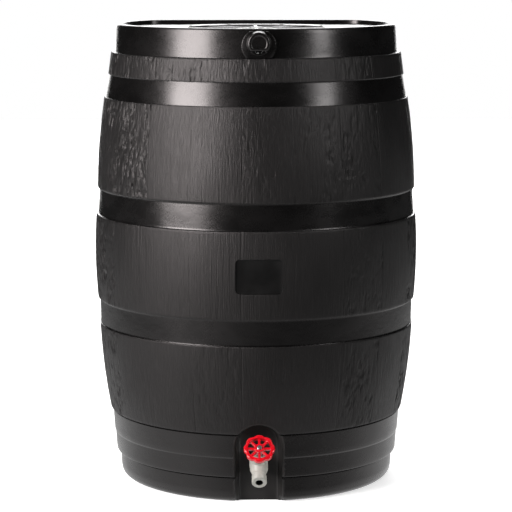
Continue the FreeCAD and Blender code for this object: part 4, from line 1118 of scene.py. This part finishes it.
def plane(name, size, location, rotation, material):
    """Rectangle that belongs to the stage and not to the object."""
    mesh = bpy.data.meshes.new(name)
    x, y = size[0] / 2, size[1] / 2
    mesh.from_pydata([(-x, -y, 0), (x, -y, 0), (x, y, 0), (-x, y, 0)], [], [(0, 1, 2, 3)])
    mesh.materials.append(material)
    thing = add_object(name, mesh)
    thing.location = location
    thing.rotation_euler = rotation
    return thing


def add_lamp(light, location, rotation):
    """Hang a light in the studio."""
    lamp = bpy.data.objects.new(light.name, light)
    lamp.location = location
    lamp.rotation_euler = rotation
    bpy.context.scene.collection.objects.link(lamp)
    return lamp


def area_lamp(name, size, power, location, rotation, color=(1, 1, 1)):
    """Rectangular soft light that the camera doesn't see."""
    light = bpy.data.lights.new(name, "AREA")
    light.shape = "RECTANGLE"
    light.size, light.size_y = size
    light.energy = power
    light.color = color
    add_lamp(light, location, rotation).visible_camera = False


def softbox(name, azimuth, low, high, width, power, color=(1, 1, 1)):
    """Upright area light that faces the barrel from an azimuth, measured like the camera's."""
    turn = math.radians(azimuth)
    place = (LAMP_DISTANCE * math.sin(turn), -LAMP_DISTANCE * math.cos(turn), (low + high) / 2)
    area_lamp(name, (width, high - low), power, place, (math.pi / 2, 0, turn), color)


def tap_spot():
    """Narrow soft spot from the right that lifts the tap's shaded side."""
    light = bpy.data.lights.new("tap_spot", "SPOT")
    light.energy = 100.0
    light.spot_size = math.radians(6.5)
    light.spot_blend = 0.7
    light.shadow_soft_size = 0.12
    place = TAP_TARGET + TAP_SPOT_PLACE
    add_lamp(light, place, (TAP_TARGET - place).to_track_quat("-Z", "Y").to_euler())


def studio_world():
    """White behind everything. The object sees dark walls, and a ground that is bright at the sides."""
    world = bpy.data.worlds.new("studio")
    world.use_nodes = True
    tree = world.node_tree
    place = tree.nodes.new("ShaderNodeTexCoord")
    split = tree.nodes.new("ShaderNodeSeparateXYZ")
    tree.links.new(place.outputs["Generated"], split.inputs["Vector"])

    turn = tree.nodes.new("ShaderNodeMath")
    turn.operation = "MULTIPLY_ADD"
    turn.inputs[1].default_value = GROUND_LEAN
    tree.links.new(split.outputs["X"], turn.inputs[0])
    tree.links.new(split.outputs["Y"], turn.inputs[2])
    ground = map_range(tree, turn.outputs["Value"], -1.0, -0.2, *GROUND_GLOW)
    level = map_range(tree, split.outputs["Z"], -0.27, -0.15, ground, WALL_GLOW)
    path = tree.nodes.new("ShaderNodeLightPath")
    pick = tree.nodes.new("ShaderNodeMix")
    pick.data_type = "FLOAT"
    pick.inputs["B"].default_value = 1.0
    tree.links.new(path.outputs["Is Camera Ray"], pick.inputs["Factor"])
    tree.links.new(level, pick.inputs["A"])
    tree.links.new(pick.outputs["Result"], tree.nodes["Background"].inputs["Strength"])
    tree.nodes["Background"].inputs["Color"].default_value = WHITE
    bpy.context.scene.world = world


def floor_paper():
    """White paper that glows more away from the object, so that it stays white to its edge."""
    shader = Shader("white_paper")
    length = shader.tree.nodes.new("ShaderNodeVectorMath")
    length.operation = "LENGTH"
    shader.link(shader.place, length.inputs[0])
    glow = shader.span(length.outputs["Value"], 0.5, 2.0, 0.62, 1.0)
    shader.link(glow, shader.surface.inputs["Emission Strength"])
    grain = shader.noise(3.0)
    tint = shader.ramp(grain, [(0.0, (0.90, 0.90, 0.90)), (1.0, (0.93, 0.93, 0.93))])
    return shader.finish(tint, 0.8, Emission_Color=WHITE)


def build_stage():
    """White floor, a glowing card behind, softboxes on the left and right, and lights for tap and top."""
    floor = plane("floor", (16, 16), (0, 0, -FLOOR_DROP), (0, 0, 0), floor_paper())
    floor.visible_glossy = False
    floor.visible_diffuse = False
    shader = Shader("backdrop_glow")
    glow = shader.finish((0.95, 0.95, 0.95), 0.8, Emission_Color=WHITE, Emission_Strength=4.0)
    backdrop = plane("backdrop", (3.4, 4.0), (0, 4.5, 2.0), (math.pi / 2, 0, 0), glow)
    backdrop.visible_camera = False
    studio_world()
    softbox("left_softbox", -51.0, 0.48, 2.2, 1.2, 114.0, (1.0, 0.96, 0.955))
    softbox("right_strip", 50.0, 0.86, 2.1, 0.5, 18.0)
    tap_spot()
    area_lamp("overhead", (4.0, 3.0), 70.0, (0, 0.9, 3.6), (0, 0, 0))
    bpy.context.scene.view_settings.view_transform = "Standard"


add_camera()
finishes = {
    "stave": stave_plastic(),
    "hoop": hoop_plastic(),
    "inside": inside_plastic(),
    "alcove": alcove_painted_light_plastic(),
    "label": label_plastic(),
    "waterway": waterway_plastic(),
    "tap": tap_plastic(),
    "wheel": wheel_plastic(),
    "steel": bright_steel(),
    "dull_steel": dull_steel(),
    "brass": brass(),
    "rubber": black_rubber(),
    "packing": packing_fibre(),
    "screen": screen_plastic(),
    "mesh": mesh_fibre(),
}
finish_nodes(finishes)
make_barrel(finishes)
make_screen_mesh(finishes["mesh"])
tap = soften("spigot_body", "tap_moulding", 0.0005, 2, finishes["tap"], "barrel")
# The tap's bores get near-black painted shade in place of its pale plastic.
paint_bore_shade(tap, finishes["waterway"])
soften("spigot_bonnet", "bonnet_moulding", 0.0004, 3, finishes["tap"], "barrel")
soften("packing_nut", "packing_nut_moulding", 0.0004, 3, finishes["tap"], "barrel")
soften("overflow_fitting", "overflow_hood", 0.0005, 18, finishes["hoop"], "barrel")
soften("handwheel", "wheel_moulding", 0.0004, 3, finishes["wheel"], "handwheel")
build_stage()
